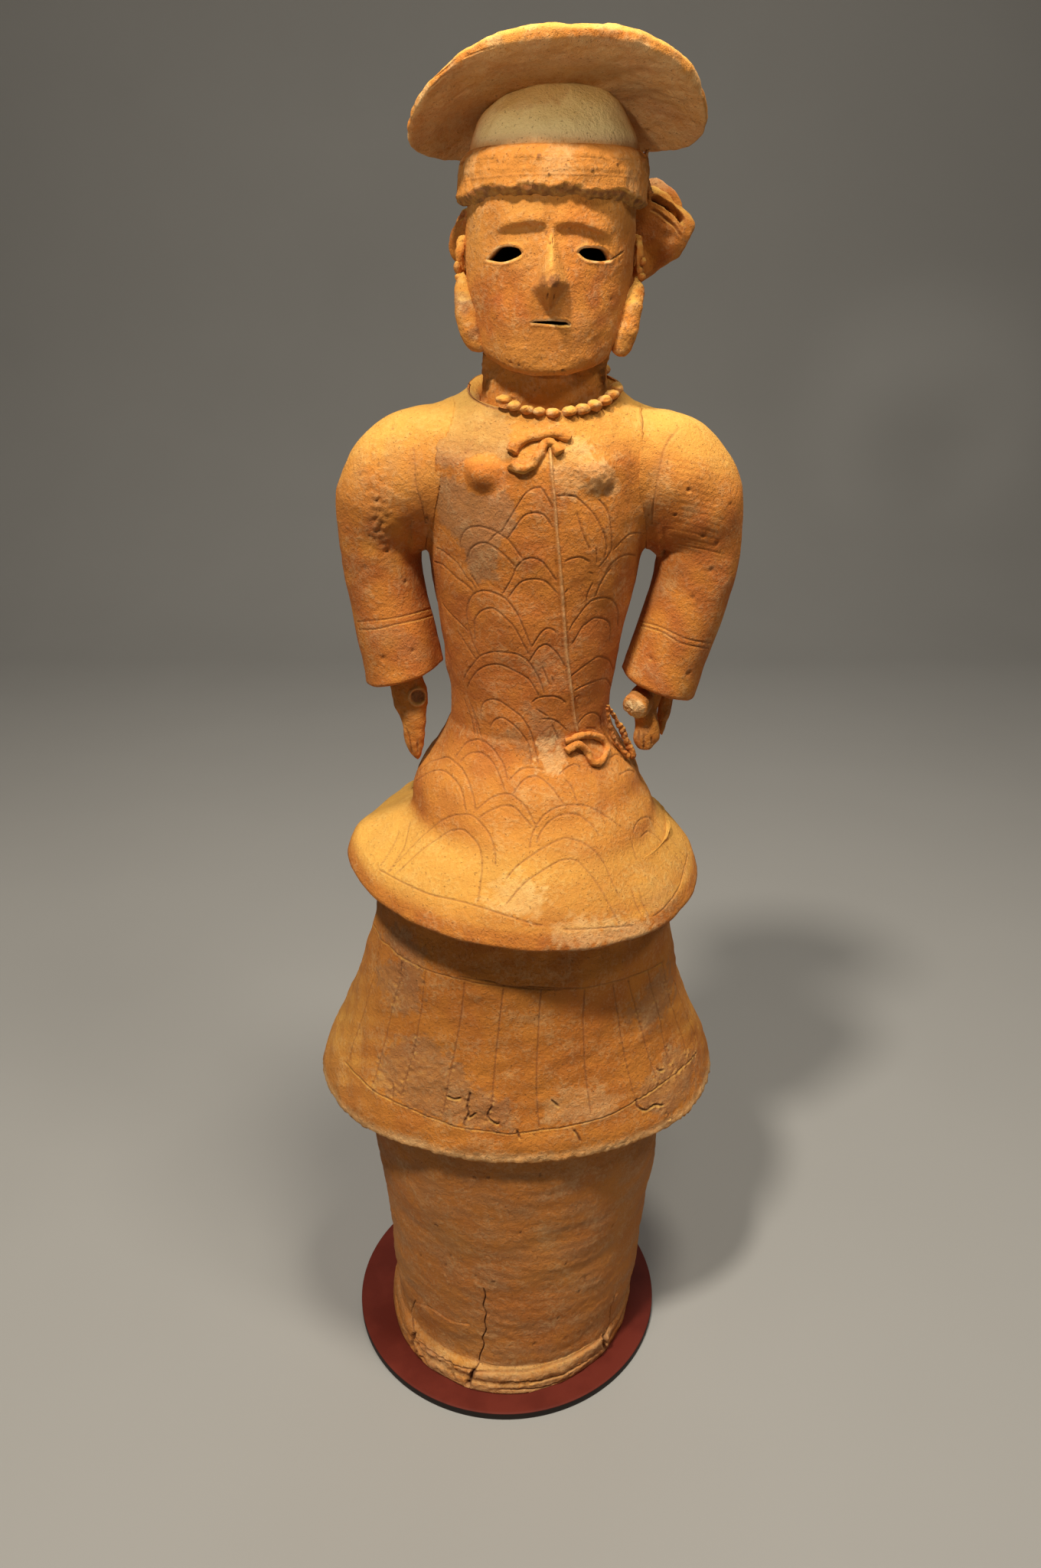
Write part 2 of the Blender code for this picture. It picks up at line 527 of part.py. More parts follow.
def make_breasts(collection):
    for x, height, radius in BREASTS:
        place = on_front(x, height, 0.0)
        ball("breast", place, (radius, 0.0125, radius), collection, u=8, v=6)


def sleeve_path(side, cuff, shrink=0.0, start=None):
    table = SLEEVE[side]
    path = [((side * x, SLEEVE_Y * i / 5.0, h), r - shrink) for i, (x, h, r) in enumerate(table)]
    if start is not None:
        path = [((side * (table[4][0] + table[5][0]) / 2.0, SLEEVE_Y, start), table[5][2] - shrink)]
    elbow = (side * table[5][0], SLEEVE_Y, table[5][1])
    end = (cuff[0], SLEEVE_Y * 2.0, cuff[1])
    middle = tuple((a + b) / 2.0 for a, b in zip(elbow, end))
    if start is not None:
        path.append((elbow, table[5][2] - shrink))
    path.append((middle, cuff[2] - shrink))
    path.append((end, cuff[2] - shrink))
    return path


def make_sleeves(added, sleeve_hollows):
    """Bent sleeve tubes, hollow from the cuff nearly to the shoulder."""
    wall = SLEEVE_WALL * FIGURE_DRAWN / FIGURE_HEIGHT
    for side, cuff in ((-1, LEFT_CUFF), (1, RIGHT_CUFF)):
        tilt = CUFF_SLANT[side] * -side
        loft("sleeve", along(sleeve_path(side, cuff), 18, tilt), added)
        path = sleeve_path(side, cuff, wall, SLEEVE_HOLLOW_TOP)
        (x, y, z), radius = path[-1]
        path[-1] = ((x - side * 0.004, y, z - 0.02), radius)
        loft("sleeve_hollow", along(path, 14, tilt), sleeve_hollows)


def make_hands(collection):
    """Each hand with the clay rod of its forearm, which hangs in the sleeve."""
    for name, table in (("left_hand", LEFT_HAND), ("right_hand", RIGHT_HAND)):
        rings = []
        for x, y, height, half_width, half_thick in table:
            points = ring(height, half_width, half_thick, half_thick, sides=12)
            rings.append(points + np.array([x, y, 0.0]))
        loft(name, list(reversed(rings)), collection)
    strand("thumb", THUMB, THUMB_RADIUS, collection, steps=2)
    scar = ring(0.0, 0.0085, 0.0085, 0.0085, sides=12)
    place = Matrix.Translation((-0.1080, -0.0250, 0.7515)) @ Matrix.Rotation(math.pi / 2, 4, "X")
    rings = [np.array([place @ Vector(p) for p in scar + np.array([0.0, 0.0, z])]) for z in (-0.006, 0.003)]
    loft("thumb_stump", rings, collection)


def combine(obj, name, operation, operands):
    modifier = obj.modifiers.new(name, "BOOLEAN")
    modifier.operation = operation
    modifier.operand_type = "COLLECTION"
    modifier.collection = operands
    modifier.solver = "EXACT"
    modifier.use_self = False


def hide_cutters(collection):
    for obj in collection.objects:
        obj.hide_render = True
        obj.display_type = "WIRE"


def baked(obj, collection, name):
    """The object with its modifiers applied, as one plain mesh."""
    graph = bpy.context.evaluated_depsgraph_get()
    data = bpy.data.meshes.new_from_object(obj.evaluated_get(graph))
    data.name = name
    result = bpy.data.objects.new(name, data)
    collection.objects.link(result)
    return result


def lean_and_stand(obj):
    """Scales the drawn figure to its real height, leans it and stands it on the board."""
    scale = FIGURE_HEIGHT / FIGURE_DRAWN
    foot = BOARD_THICKNESS + GAP
    for vertex in obj.data.vertices:
        x, y, z = vertex.co
        x += float(smooth(LEAN, z)[0])
        vertex.co = (x * scale, y * scale, z * scale + foot)


def make_figure(collection):
    added = new_collection("clay added to the body")
    hollows = new_collection("hollows of the body")
    hands = new_collection("hands")
    body = loft("figure_body", body_outside(), added)
    added.objects.unlink(body)
    hands.objects.link(body)
    hands.objects.unlink(body)
    helpers = new_collection("figure before it is finished")
    helpers.objects.link(body)
    loft("neck", [ring(h, *smooth(NECK, h), sides=24) for h in (0.975, 1.01, 1.06)], added)
    loft("head", head_outside(), added)
    make_band(added)
    make_nose(added)
    make_brows(added)
    make_hair(added)
    make_bag(added, hollows)
    make_ears(added)
    make_necklace(added)
    make_ties(added)
    make_breasts(added)
    make_sleeves(added, hollows)
    make_hands(hands)
    loft("body_hollow", hollow_sections(), hollows)
    cut_face(hollows)
    combine(body, "added clay", "UNION", added)
    combine(body, "hollows", "DIFFERENCE", hollows)
    combine(body, "hands", "UNION", hands)
    figure = baked(body, collection, "figure")
    lean_and_stand(figure)
    for group in (added, hollows, hands, helpers):
        hide_cutters(group)
    figure.data.materials.clear()
    figure.data.materials.append(new_material("fired clay", CLAY_COLOUR, 0.85))
    return figure


def make_board(collection):
    """The round red board that the figure stands on."""
    bpy.ops.mesh.primitive_cylinder_add(vertices=48, radius=BOARD_RADIUS, depth=BOARD_THICKNESS,
                                        location=(0.0, 0.0, BOARD_THICKNESS / 2.0))
    board = bpy.context.object
    board.name = "base_disc"
    for other in list(board.users_collection):
        other.objects.unlink(board)
    collection.objects.link(board)
    bevel = board.modifiers.new("rim", "BEVEL")
    bevel.width = BOARD_BEVEL
    bevel.segments = 1
    bevel.limit_method = "ANGLE"
    board.data.materials.append(new_material("red board", BOARD_COLOUR, 0.6))
    return board


def main():
    clear_scene()
    collection = new_collection("haniwa figure")
    make_board(collection)
    make_figure(collection)


main()
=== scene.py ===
# %% [markdown]
# A hollow clay figure, cell by cell.
# The imported CAD model is a frame that holds every size and every piece of the figure. It is loaded first, and its
# box is kept.

# %% Load the frame
import math

import bmesh
import bpy
import numpy as np
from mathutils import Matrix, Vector
from mathutils.bvhtree import BVHTree


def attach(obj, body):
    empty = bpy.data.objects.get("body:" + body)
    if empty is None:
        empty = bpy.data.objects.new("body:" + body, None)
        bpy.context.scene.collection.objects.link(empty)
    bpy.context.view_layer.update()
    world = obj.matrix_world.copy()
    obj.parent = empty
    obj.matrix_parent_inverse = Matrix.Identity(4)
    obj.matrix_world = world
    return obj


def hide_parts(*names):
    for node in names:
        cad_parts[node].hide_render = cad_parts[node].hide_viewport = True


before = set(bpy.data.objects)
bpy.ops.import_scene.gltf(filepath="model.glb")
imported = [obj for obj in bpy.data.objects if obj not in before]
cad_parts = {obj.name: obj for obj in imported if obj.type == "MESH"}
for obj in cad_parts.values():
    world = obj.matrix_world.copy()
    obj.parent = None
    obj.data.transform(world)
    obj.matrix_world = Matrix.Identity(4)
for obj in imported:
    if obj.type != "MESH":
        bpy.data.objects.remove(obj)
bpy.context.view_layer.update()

print("the frame holds", sorted(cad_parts))

# %% [markdown]
# The old potter built the body as a stack of clay rings, each pressed a little wider or narrower
# than the last. The tables say the same thing: at each height, how far the wall stands out to the
# sides, to the front and to the back. Few rows are enough, because a smooth curve joins them.

# %% The outlines of the body, in metres
FOOT = 0.0093
LEAN = [(0.0, 0.0035), (0.02, 0.0065), (0.04, 0.0102), (0.07, 0.0105), (0.14, 0.0118), (0.22, 0.0126),
        (0.35, 0.0118), (0.45, 0.0145), (0.50, 0.0178), (0.54, 0.0200), (0.60, 0.0183), (0.625, 0.0215),
        (0.645, 0.0265), (0.668, 0.0230), (0.73, 0.0245), (0.92, 0.0308), (0.99, 0.0330), (1.03, 0.0370),
        (1.10, 0.0385), (1.27, 0.0465)]
BASE = [(0.0, 0.1350, 0.139, 0.137), (0.04, 0.1350, 0.139, 0.137), (0.07, 0.1400, 0.140, 0.138),
        (0.14, 0.1447, 0.142, 0.140), (0.19, 0.1485, 0.144, 0.142), (0.24, 0.1545, 0.147, 0.145),
        (0.32, 0.1580, 0.149, 0.147), (0.47, 0.149, 0.140, 0.138)]
SKIRT = [(0.333, 0.2070, 0.1615, 0.158), (0.346, 0.2045, 0.161, 0.157), (0.372, 0.197, 0.157, 0.153),
         (0.411, 0.1785, 0.151, 0.147), (0.449, 0.1645, 0.146, 0.142), (0.486, 0.1555, 0.142, 0.138),
         (0.533, 0.146, 0.139, 0.135), (0.620, 0.141, 0.134, 0.130)]
PEPLUM = [(0.587, 0.1715, 0.171, 0.165), (0.601, 0.1660, 0.166, 0.159), (0.625, 0.1360, 0.146, 0.138),
          (0.642, 0.1170, 0.128, 0.120), (0.660, 0.1095, 0.114, 0.108), (0.680, 0.1020, 0.101, 0.097),
          (0.700, 0.088, 0.087, 0.083), (0.715, 0.0790, 0.078, 0.074), (0.729, 0.0732, 0.0740, 0.0695)]
TORSO = [(0.729, 0.0732, 0.0740, 0.0695), (0.751, 0.0731, 0.0740, 0.0695), (0.781, 0.0771, 0.0760, 0.0715),
         (0.839, 0.0865, 0.0800, 0.0750), (0.894, 0.0948, 0.0840, 0.0795), (0.935, 0.0995, 0.0855, 0.082),
         (0.965, 0.1000, 0.083, 0.079), (0.985, 0.093, 0.076, 0.072), (1.001, 0.080, 0.0680, 0.0655),
         (1.017, 0.063, 0.0600, 0.0575)]
NECK = [(0.975, 0.0540, 0.0535, 0.0525), (1.00, 0.0528, 0.0522, 0.0512), (1.03, 0.0518, 0.0512, 0.0503),
        (1.062, 0.0515, 0.0505, 0.0500)]
HEAD = [(1.0305, 0.016, 0.066, -0.040), (1.035, 0.034, 0.0695, -0.015), (1.0435, 0.0480, 0.0705, 0.005),
        (1.055, 0.0555, 0.071, 0.028), (1.070, 0.0605, 0.0715, 0.045), (1.0914, 0.0655, 0.0715, 0.056),
        (1.1132, 0.0672, 0.071, 0.062), (1.150, 0.0667, 0.0695, 0.064), (1.183, 0.066, 0.066, 0.064)]
PEPLUM_TILT = (-0.08, 0.07)
COLLAR_TILT = 0.25
WALL = 0.015
print("tables for", len(BASE) + len(SKIRT) + len(PEPLUM) + len(TORSO) + len(HEAD), "rings of clay")

# %% [markdown]
# A curve through the rows must not bulge past them, or a waist would come out thinner than it was
# measured. A cubic whose slope is the harmonic mean of its neighbours keeps that promise. The same
# curve, walked at even steps, spreads the rings of a fine mesh evenly down the wall.

# %% Smooth curves, rings and the lean of the old clay
def smooth(table, where):
    """Columns of the table at given places of its first one: cubics with the harmonic mean slope at each row."""
    rows = np.array(table, float)
    x, y = rows[:, 0], rows[:, 1:]
    step = np.diff(x)[:, None]
    slope = np.diff(y, axis=0) / step
    same = slope[:-1] * slope[1:]
    inner = np.where(same > 0.0, 2.0 * same / (slope[:-1] + slope[1:] + 1e-12), 0.0)
    tangent = np.vstack([slope[:1], inner, slope[-1:]])
    place = np.clip(np.atleast_1d(where), x[0], x[-1])
    i = np.clip(np.searchsorted(x, place) - 1, 0, len(x) - 2)
    t = ((place - x[i]) / (x[i + 1] - x[i]))[:, None]
    return (y[i] * (1 + 2 * t) * (1 - t) ** 2 + y[i + 1] * t * t * (3 - 2 * t)
            + step[i] * (tangent[i] * t * (1 - t) ** 2 - tangent[i + 1] * t * t * (1 - t)))


def walked(points):
    """The distance walked from the first point to each one."""
    return np.concatenate([[0.0], np.cumsum(np.linalg.norm(np.diff(points, axis=0), axis=1))])


def flow(table, count):
    """The table at even steps of the distance walked from row to row over its first three columns."""
    rows = np.array(table, float)
    walk = walked(rows[:, :3])
    return smooth(np.column_stack([walk, rows]), np.linspace(0.0, walk[-1], count))


def around(count, crowd=0.5):
    """Angles once round, closer together at the front: t - crowd * sin(t), measured from the front."""
    t = np.linspace(-math.pi, math.pi, count, endpoint=False)
    return t - crowd * np.sin(t) - math.pi / 2


def oval(rows, angle, power=2.0):
    """A grid of rings: half width times cosine to the side, depth times sine to the front or back."""
    c, s = np.cos(angle), np.sin(angle)
    half, front, back = rows[:, 1:2], rows[:, 2:3], rows[:, 3:4]
    x = half * np.sign(c) * np.abs(c) ** (2.0 / power)
    y = (back - front) / 2.0 + (back + front) / 2.0 * np.sign(s) * np.abs(s) ** (2.0 / power)
    return np.stack([x, y, np.repeat(rows[:, :1], len(angle), 1)], axis=-1)


def grown(grid, amount):
    """Each point moved level, straight away from the middle of its ring."""
    away = grid[..., :2] - grid[..., :2].mean(axis=1, keepdims=True)
    away = away / np.linalg.norm(away, axis=-1, keepdims=True)
    moved = grid.copy()
    moved[..., :2] += away * np.broadcast_to(amount, grid.shape[:2])[..., None]
    return moved


def leaning(points):
    """From the upright drawing to the real place: shifted to the side by height, and up onto the board."""
    moved = np.array(points, float)
    flat = moved.reshape(-1, 3)
    flat[:, 0] += smooth(LEAN, flat[:, 2])[:, 0]
    flat[:, 2] += FOOT
    return moved


def upright(points):
    """Back in the upright drawing: sideways from its middle line, and height over the board."""
    h = points[:, 2] - FOOT
    return points[:, 0] - smooth(LEAN, h)[:, 0], h


def held(x):
    """No less than 0 and no more than 1."""
    return np.clip(x, 0.0, 1.0)


def ramp(x, low, high):
    """0 below low, 1 above high, and an S between: t * t * (3 - 2 t)."""
    t = held((x - low) / (high - low))
    return t * t * (3.0 - 2.0 * t)


print("waist half width", float(smooth(TORSO, 0.74)[0, 0]))

# %% [markdown]
# The photograph is the only record of the potter's lines, so they are drawn the way they were seen:
# a pencil that holds photograph pixels, a camera where the photograph was taken from, and a ray from
# the one through the other that lands on the clay. The camera comes first for that reason.

# %% The camera at the photograph's place
PHOTO = (1360, 2048)
PIXELS_PER_UNIT = 1467.0
EYE = np.array([0.0161, -0.9935, 1.1027])
PITCH = math.radians(23.84)
LOOK = np.array([0.0, math.cos(PITCH), -math.sin(PITCH)])
RISE = np.array([0.0, math.sin(PITCH), math.cos(PITCH)])

camera_data = bpy.data.cameras.new("camera")
camera_data.sensor_width = 36.0
camera_data.lens = 36.0 * PIXELS_PER_UNIT / PHOTO[1]
camera_data.clip_start = 0.05
camera = bpy.data.objects.new("camera", camera_data)
camera.location = EYE
camera.rotation_euler = (math.pi / 2 - PITCH, 0.0, 0.0)
bpy.context.scene.collection.objects.link(camera)
bpy.context.scene.camera = camera


def seen(points):
    """Photograph pixels of points: sideways and upward distance over the distance along the view."""
    d = points - EYE
    ahead = np.maximum(d @ LOOK, 0.05)
    return np.stack([PHOTO[0] / 2 + PIXELS_PER_UNIT * d[..., 0] / ahead,
                     PHOTO[1] / 2 - PIXELS_PER_UNIT * (d @ RISE) / ahead], axis=-1)


def sight(pixel):
    """The direction of the ray through a photograph pixel."""
    x, y = pixel
    way = LOOK * PIXELS_PER_UNIT + RISE * (PHOTO[1] / 2 - y)
    way[0] += x - PHOTO[0] / 2
    return way / np.linalg.norm(way)


def at_depth(pixel, y):
    """The point behind a pixel on the upright plane at the depth y."""
    way = sight(pixel)
    return EYE + way * (y - EYE[1]) / way[1]


def pixel_at(point):
    """The size of a photograph pixel at a point, in metres."""
    return (point - EYE) @ LOOK / PIXELS_PER_UNIT


print("lens", round(camera_data.lens, 2), "mm")

# %% [markdown]
# Each piece starts as a grid of points, rings by columns. One function skins a grid, one cuts the
# faces near a drawn line into smaller ones, and one hands the piece over. Fired clay is never
# perfectly even, so a slow unevenness is at hand too, made of a few dozen cosine waves.

# %% Meshes from grids
def mesh_of(name, points, faces):
    data = bpy.data.meshes.new(name)
    data.from_pydata(np.asarray(points), [], faces)
    data.polygons.foreach_set("use_smooth", np.ones(len(data.polygons), bool))
    return data


def skin(name, grid, loop=True):
    """Quads between neighbouring rings. The last ring joins the first, or both ends close in a fan."""
    rows, columns = grid.shape[:2]
    i = np.arange(rows if loop else rows - 1)[:, None]
    j = np.arange(columns)[None, :]
    up, on = (i + 1) % rows, (j + 1) % columns
    quads = np.stack([i * columns + j, i * columns + on, up * columns + on, up * columns + j], -1)
    faces = quads.reshape(-1, 4).tolist()
    points = grid.reshape(-1, 3)
    if not loop:
        n, last = len(points), (rows - 1) * columns
        points = np.vstack([points, grid[0].mean(axis=0), grid[-1].mean(axis=0)])
        side, after = j[0], (j[0] + 1) % columns
        faces += np.stack([np.full(columns, n), after, side], -1).tolist()
        faces += np.stack([np.full(columns, n + 1), last + side, last + after], -1).tolist()
    return mesh_of(name, points, faces)


def places(data):
    co = np.empty(len(data.vertices) * 3, np.float32)
    data.vertices.foreach_get("co", co)
    return co.reshape(-1, 3).astype(float)


def put(data, co):
    data.vertices.foreach_set("co", np.asarray(co, np.float32).ravel())
    data.update()


def outward(data):
    normal = np.empty(len(data.vertices) * 3, np.float32)
    data.vertex_normals.foreach_get("vector", normal)
    return normal.reshape(-1, 3).astype(float)


def surface(data):
    """Every corner's place and its way outward."""
    return places(data), outward(data)


def push(data, co, normal, relief):
    """Moves every corner outward by its relief, in metres."""
    put(data, co + normal * relief[:, None])


def refine(data, wanted, cuts=2):
    """Cuts every edge of each face that has a wanted corner, and fills the new grid."""
    mesh = bmesh.new()
    mesh.from_mesh(data)
    near = wanted.tolist()
    edges = {edge for face in mesh.faces if any(near[v.index] for v in face.verts) for edge in face.edges}
    bmesh.ops.subdivide_edges(mesh, edges=list(edges), cuts=cuts, use_grid_fill=True)
    mesh.to_mesh(data)
    mesh.free()


def waves(points, size, seed, count=28):
    """Unevenness of about one: the sum of cosines of random direction and phase, size long."""
    rng = np.random.default_rng(seed)
    way = rng.normal(size=(3, count))
    way *= 2.0 * math.pi / size * rng.uniform(0.6, 1.5, count) / np.linalg.norm(way, axis=0)
    return np.cos(points @ way + rng.uniform(0, 2 * math.pi, count)).sum(axis=1) / math.sqrt(count / 2)


def facing_up(normal):
    """Upward faces, where dust settles and painted top light goes: 0 on a wall, 1 on a level top."""
    return ramp(normal[:, 2], 0.20, 0.90)


def finished(data, slot="fired_clay", stands_for="figure", **marks):
    """Links the piece, says what it rides on and what it stands for, and writes its painted marks."""
    # Every piece gets dust and painted top light on its upward faces unless it gives its own.
    marks.setdefault("dust", facing_up(outward(data)))
    for name, values in marks.items():
        painted = np.broadcast_to(np.asarray(values, np.float32), len(data.vertices))
        data.attributes.new(name, "FLOAT", "POINT").data.foreach_set("value", painted.copy())
    piece = bpy.data.objects.new(data.name, data)
    bpy.context.scene.collection.objects.link(piece)
    data.materials.append(materials[slot])
    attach(piece, "root")
    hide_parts(stands_for)
    print(piece.name, len(data.vertices), "points,", sum(len(p.vertices) - 2 for p in data.polygons), "triangles")
    return piece


# %% [markdown]
# Lines seen in the photograph are given by a few pixels each. A curve goes through them, rays carry
# it onto the clay, and every corner of the mesh then knows how far it is from the line.

# %% Drawing on the clay
def curve_through(pixels, spacing=2.5):
    """A Catmull-Rom curve through the pixels, resampled at even spacing."""
    p = np.array(pixels, float)
    if len(p) > 2:
        q = np.vstack([2 * p[0] - p[1], p, 2 * p[-1] - p[-2]])
        t = np.linspace(0.0, 1.0, 9)[:-1, None, None]
        a, b, c, d = q[:-3], q[1:-2], q[2:-1], q[3:]
        fine = 0.5 * (2 * b + (c - a) * t + (2 * a - 5 * b + 4 * c - d) * t ** 2 + (3 * b - a - 3 * c + d) * t ** 3)
        p = np.vstack([fine.transpose(1, 0, 2).reshape(-1, 2), p[-1:]])
    walk = walked(p)
    steps = np.linspace(0.0, walk[-1], max(int(walk[-1] / spacing), 1) + 1)
    return np.column_stack([np.interp(steps, walk, p[:, 0]), np.interp(steps, walk, p[:, 1])])


def tree_of(data):
    return BVHTree.FromPolygons(places(data).tolist(), [tuple(p.vertices) for p in data.polygons])


def on_clay(tree, pixels, spacing=2.5, smooth_curve=True):
    """Where the rays through a line of pixels meet the clay."""
    line = curve_through(pixels, spacing) if smooth_curve else np.array(pixels, float)
    hits = [tree.ray_cast(Vector(EYE), Vector(sight(pixel)))[0] for pixel in line]
    return np.array([hit for hit in hits if hit is not None]).reshape(-1, 3)


def spots(data, pixels):
    """Where the rays through single pixels meet a piece."""
    return on_clay(tree_of(data), pixels, smooth_curve=False)


def from_line(points, path, reach=0.004):
    """Distance of each point from a path, and how far from its nearer end the nearest place lies."""
    distance, end = np.full(len(points), 1.0), np.zeros(len(points))
    if len(path) < 2:
        return distance, end
    near = np.flatnonzero(((points > path.min(axis=0) - reach) & (points < path.max(axis=0) + reach)).all(axis=1))
    if not len(near):
        return distance, end
    a, step = path[:-1], np.diff(path, axis=0)
    length = np.linalg.norm(step, axis=1) + 1e-9
    walk = walked(path)
    to = points[near][:, None, :] - a[None]
    t = held((to * step).sum(-1) / length ** 2)
    gap = np.linalg.norm(to - t[..., None] * step, axis=-1)
    best = gap.argmin(axis=1)
    pick = np.arange(len(near))
    distance[near] = gap[pick, best]
    place = walk[best] + t[pick, best] * length[best]
    end[near] = np.minimum(place, walk[-1] - place)
    return distance, end


def engrave(points, paths, half=0.0009, depth=0.0009, burr=0.12):
    """Scratched lines: (relief, darkness). A V of the half width with a low burr beside it, fading at both ends. The
    darkness is painted shade in the line.
    """
    cut, dark = np.zeros(len(points)), np.zeros(len(points))
    for path in paths:
        d, end = from_line(points, path)
        fade = ramp(end, -0.0012, 0.0025)
        cut = np.minimum(cut, -depth * held(1.0 - d / half) ** 0.8 * fade)
        rise = burr * depth * np.exp(-((d / half - 1.6) / 0.45) ** 2) * fade
        cut = np.where(cut < 0.0, cut, np.maximum(cut, rise))
        dark = np.maximum(dark, held(1.2 - d / half) * fade)
    return cut, dark


def pitted(points, pits, sizes, depth, pit_shade, over, strength, fade=1.0):
    """Small round pits: (relief, darkness). Each pit is painted dark as its shade, where a knob of the given size is
    over a limit.
    """
    relief, dark = np.zeros(len(points)), np.zeros(len(points))
    for pit, size, wide in zip(pits, sizes, np.broadcast_to(pit_shade, len(pits))):
        relief -= knob(points, pit, size, depth, 1.0)
        dark = np.maximum(fade * dark, strength * (knob(points, pit, wide, 1.0) > over))
    return relief, dark


def three_sizes(count, smallest, step):
    """Three sizes in turn, for as many pits as there are."""
    return smallest + step * (np.arange(count) % 3)


def knob(points, centre, radius, proud, sharp=1.5):
    """A rounded knob: proud * (1 - (d / radius) ** 2) ** sharp."""
    d = np.linalg.norm(points - centre, axis=1) / radius
    return proud * held(1.0 - d ** 2) ** sharp


def outline_distance(p, outline):
    """Distance from a closed outline, positive inside it, and the nearest place on it."""
    step = np.roll(outline, -1, axis=0) - outline
    to = p[:, None, :] - outline[None]
    t = held((to * step).sum(-1) / (step ** 2).sum(-1))
    near = outline[None] + t[..., None] * step
    gap = np.linalg.norm(p[:, None, :] - near, axis=-1)
    best = gap.argmin(axis=1)
    pick = np.arange(len(p))
    rising = np.where(step[:, 1] == 0.0, 1e-12, step[:, 1])
    crosses = ((to[..., 1] < 0.0) != (to[..., 1] < step[:, 1])) & (to[..., 0] < to[..., 1] * step[:, 0] / rising)
    inside = crosses.sum(axis=1) % 2 == 1
    return np.where(inside, gap[pick, best], -gap[pick, best]), near[pick, best]


def faces_camera(points, normals):
    return ((EYE - points) * normals).sum(axis=1) > 0.0


def patch(points, normals, outline, soft=2.5, ragged=3.0, seed=1):
    """1 inside an outline of pixels and 0 outside, with a ragged soft edge, where the clay faces the camera."""
    a = np.array(outline, float)
    amount = np.zeros(len(points))
    p = seen(points)
    close = ((p > a.min(axis=0) - 12) & (p < a.max(axis=0) + 12)).all(axis=1)
    near = np.flatnonzero(close & faces_camera(points, normals))
    if not len(near):
        return amount
    inside = outline_distance(p[near], a)[0]
    inside += ragged * (waves(points[near], 0.012, seed) + 0.6 * waves(points[near], 0.004, seed + 50))
    amount[near] = ramp(inside, -soft, soft)
    return amount


def patches(points, normals, outlines, soft, ragged, seed):
    """The highest of several patches."""
    every = [patch(points, normals, outline, soft, ragged, seed + i) for i, outline in enumerate(outlines)]
    return np.max(every, axis=0)


def step_below(points, normals, edge, rise, fade, ends=6.0):
    """Relief of a layer whose upper edge is a nearly level line of pixels: it stands out below and dies away."""
    e = np.array(edge, float)
    p = seen(points)
    drop = p[:, 1] - np.interp(p[:, 0], e[:, 0], e[:, 1])
    begun, over = (ramp(p[:, 0], e[k, 0] - ends, e[k, 0] + ends) for k in (0, -1))
    layer = ramp(drop, -1.5, 1.5) * (1.0 - ramp(drop, *fade)) * begun * (1.0 - over)
    return rise * layer * faces_camera(points, normals)


def scratched(data, lines, reach=0.0018, cuts=2):
    """Finds where the pixel lines lie on the clay, and cuts the mesh finer along them."""
    tree = tree_of(data)
    paths = [path for path in (on_clay(tree, line) for line in lines) if len(path) > 1]
    co = places(data)
    near = np.zeros(len(co), bool)
    for path in paths:
        near |= from_line(co, path, reach + 0.001)[0] < reach
    refine(data, near, cuts)
    return paths


print("helpers ready")

# %% [markdown]
# Ties, beads, drops and hands are small separate bits of clay pressed on. A tie is a rolled coil, so
# it is a rod along a path. A drop or a hand is flat and its edges are what the photograph shows, so
# it is a bar between two pixel edges, with its thickness along the view.

# %% Coils, bars and balls of clay
def spread_out(values, count):
    """A few values drawn out evenly to as many as are asked for."""
    return np.interp(np.linspace(0.0, 1.0, count), np.linspace(0.0, 1.0, len(values)), values)


def in_space(pixels, depth, count):
    """Points at even steps of a pixel line, each at the depth that belongs to its place on the line."""
    line = curve_through(pixels, 1.0)
    line = line[np.round(np.linspace(0, len(line) - 1, count)).astype(int)]
    y = spread_out(depth, count)
    ray = np.array([sight(pixel) for pixel in line])
    return EYE + ray * ((y - EYE[1]) / ray[:, 1])[:, None]


def rod(name, path, radius, flat=1.0, columns=26, blunt=1.0):
    """A coil of clay along a path, oval towards the eye, with rounded ends."""
    path = np.asarray(path, float)
    radius = spread_out(radius, len(path))
    cap = np.sin(np.linspace(0.0, math.pi / 2, 7))[1:][::-1]
    way = np.gradient(path, axis=0)
    way /= np.linalg.norm(way, axis=1)[:, None]
    path = np.concatenate([path[:1] - way[:1] * (radius[0] * blunt * cap)[:, None], path,
                           path[-1:] + way[-1:] * (radius[-1] * blunt * cap[::-1])[:, None]])
    thin = np.sqrt(1.0 - np.minimum(cap, 0.985) ** 2)
    radius = np.concatenate([radius[0] * thin, radius, radius[-1] * thin[::-1]])
    way = np.concatenate([np.repeat(way[:1], 6, 0), way, np.repeat(way[-1:], 6, 0)])
    across = np.cross(way, path - EYE)
    across /= np.linalg.norm(across, axis=1)[:, None]
    deep = np.cross(across, way)
    t = np.linspace(0.0, 2.0 * math.pi, columns, endpoint=False)[None, :, None]
    ring = path[:, None] + radius[:, None, None] * (np.cos(t) * across[:, None] + flat * np.sin(t) * deep[:, None])
    return skin(name, ring, loop=False)


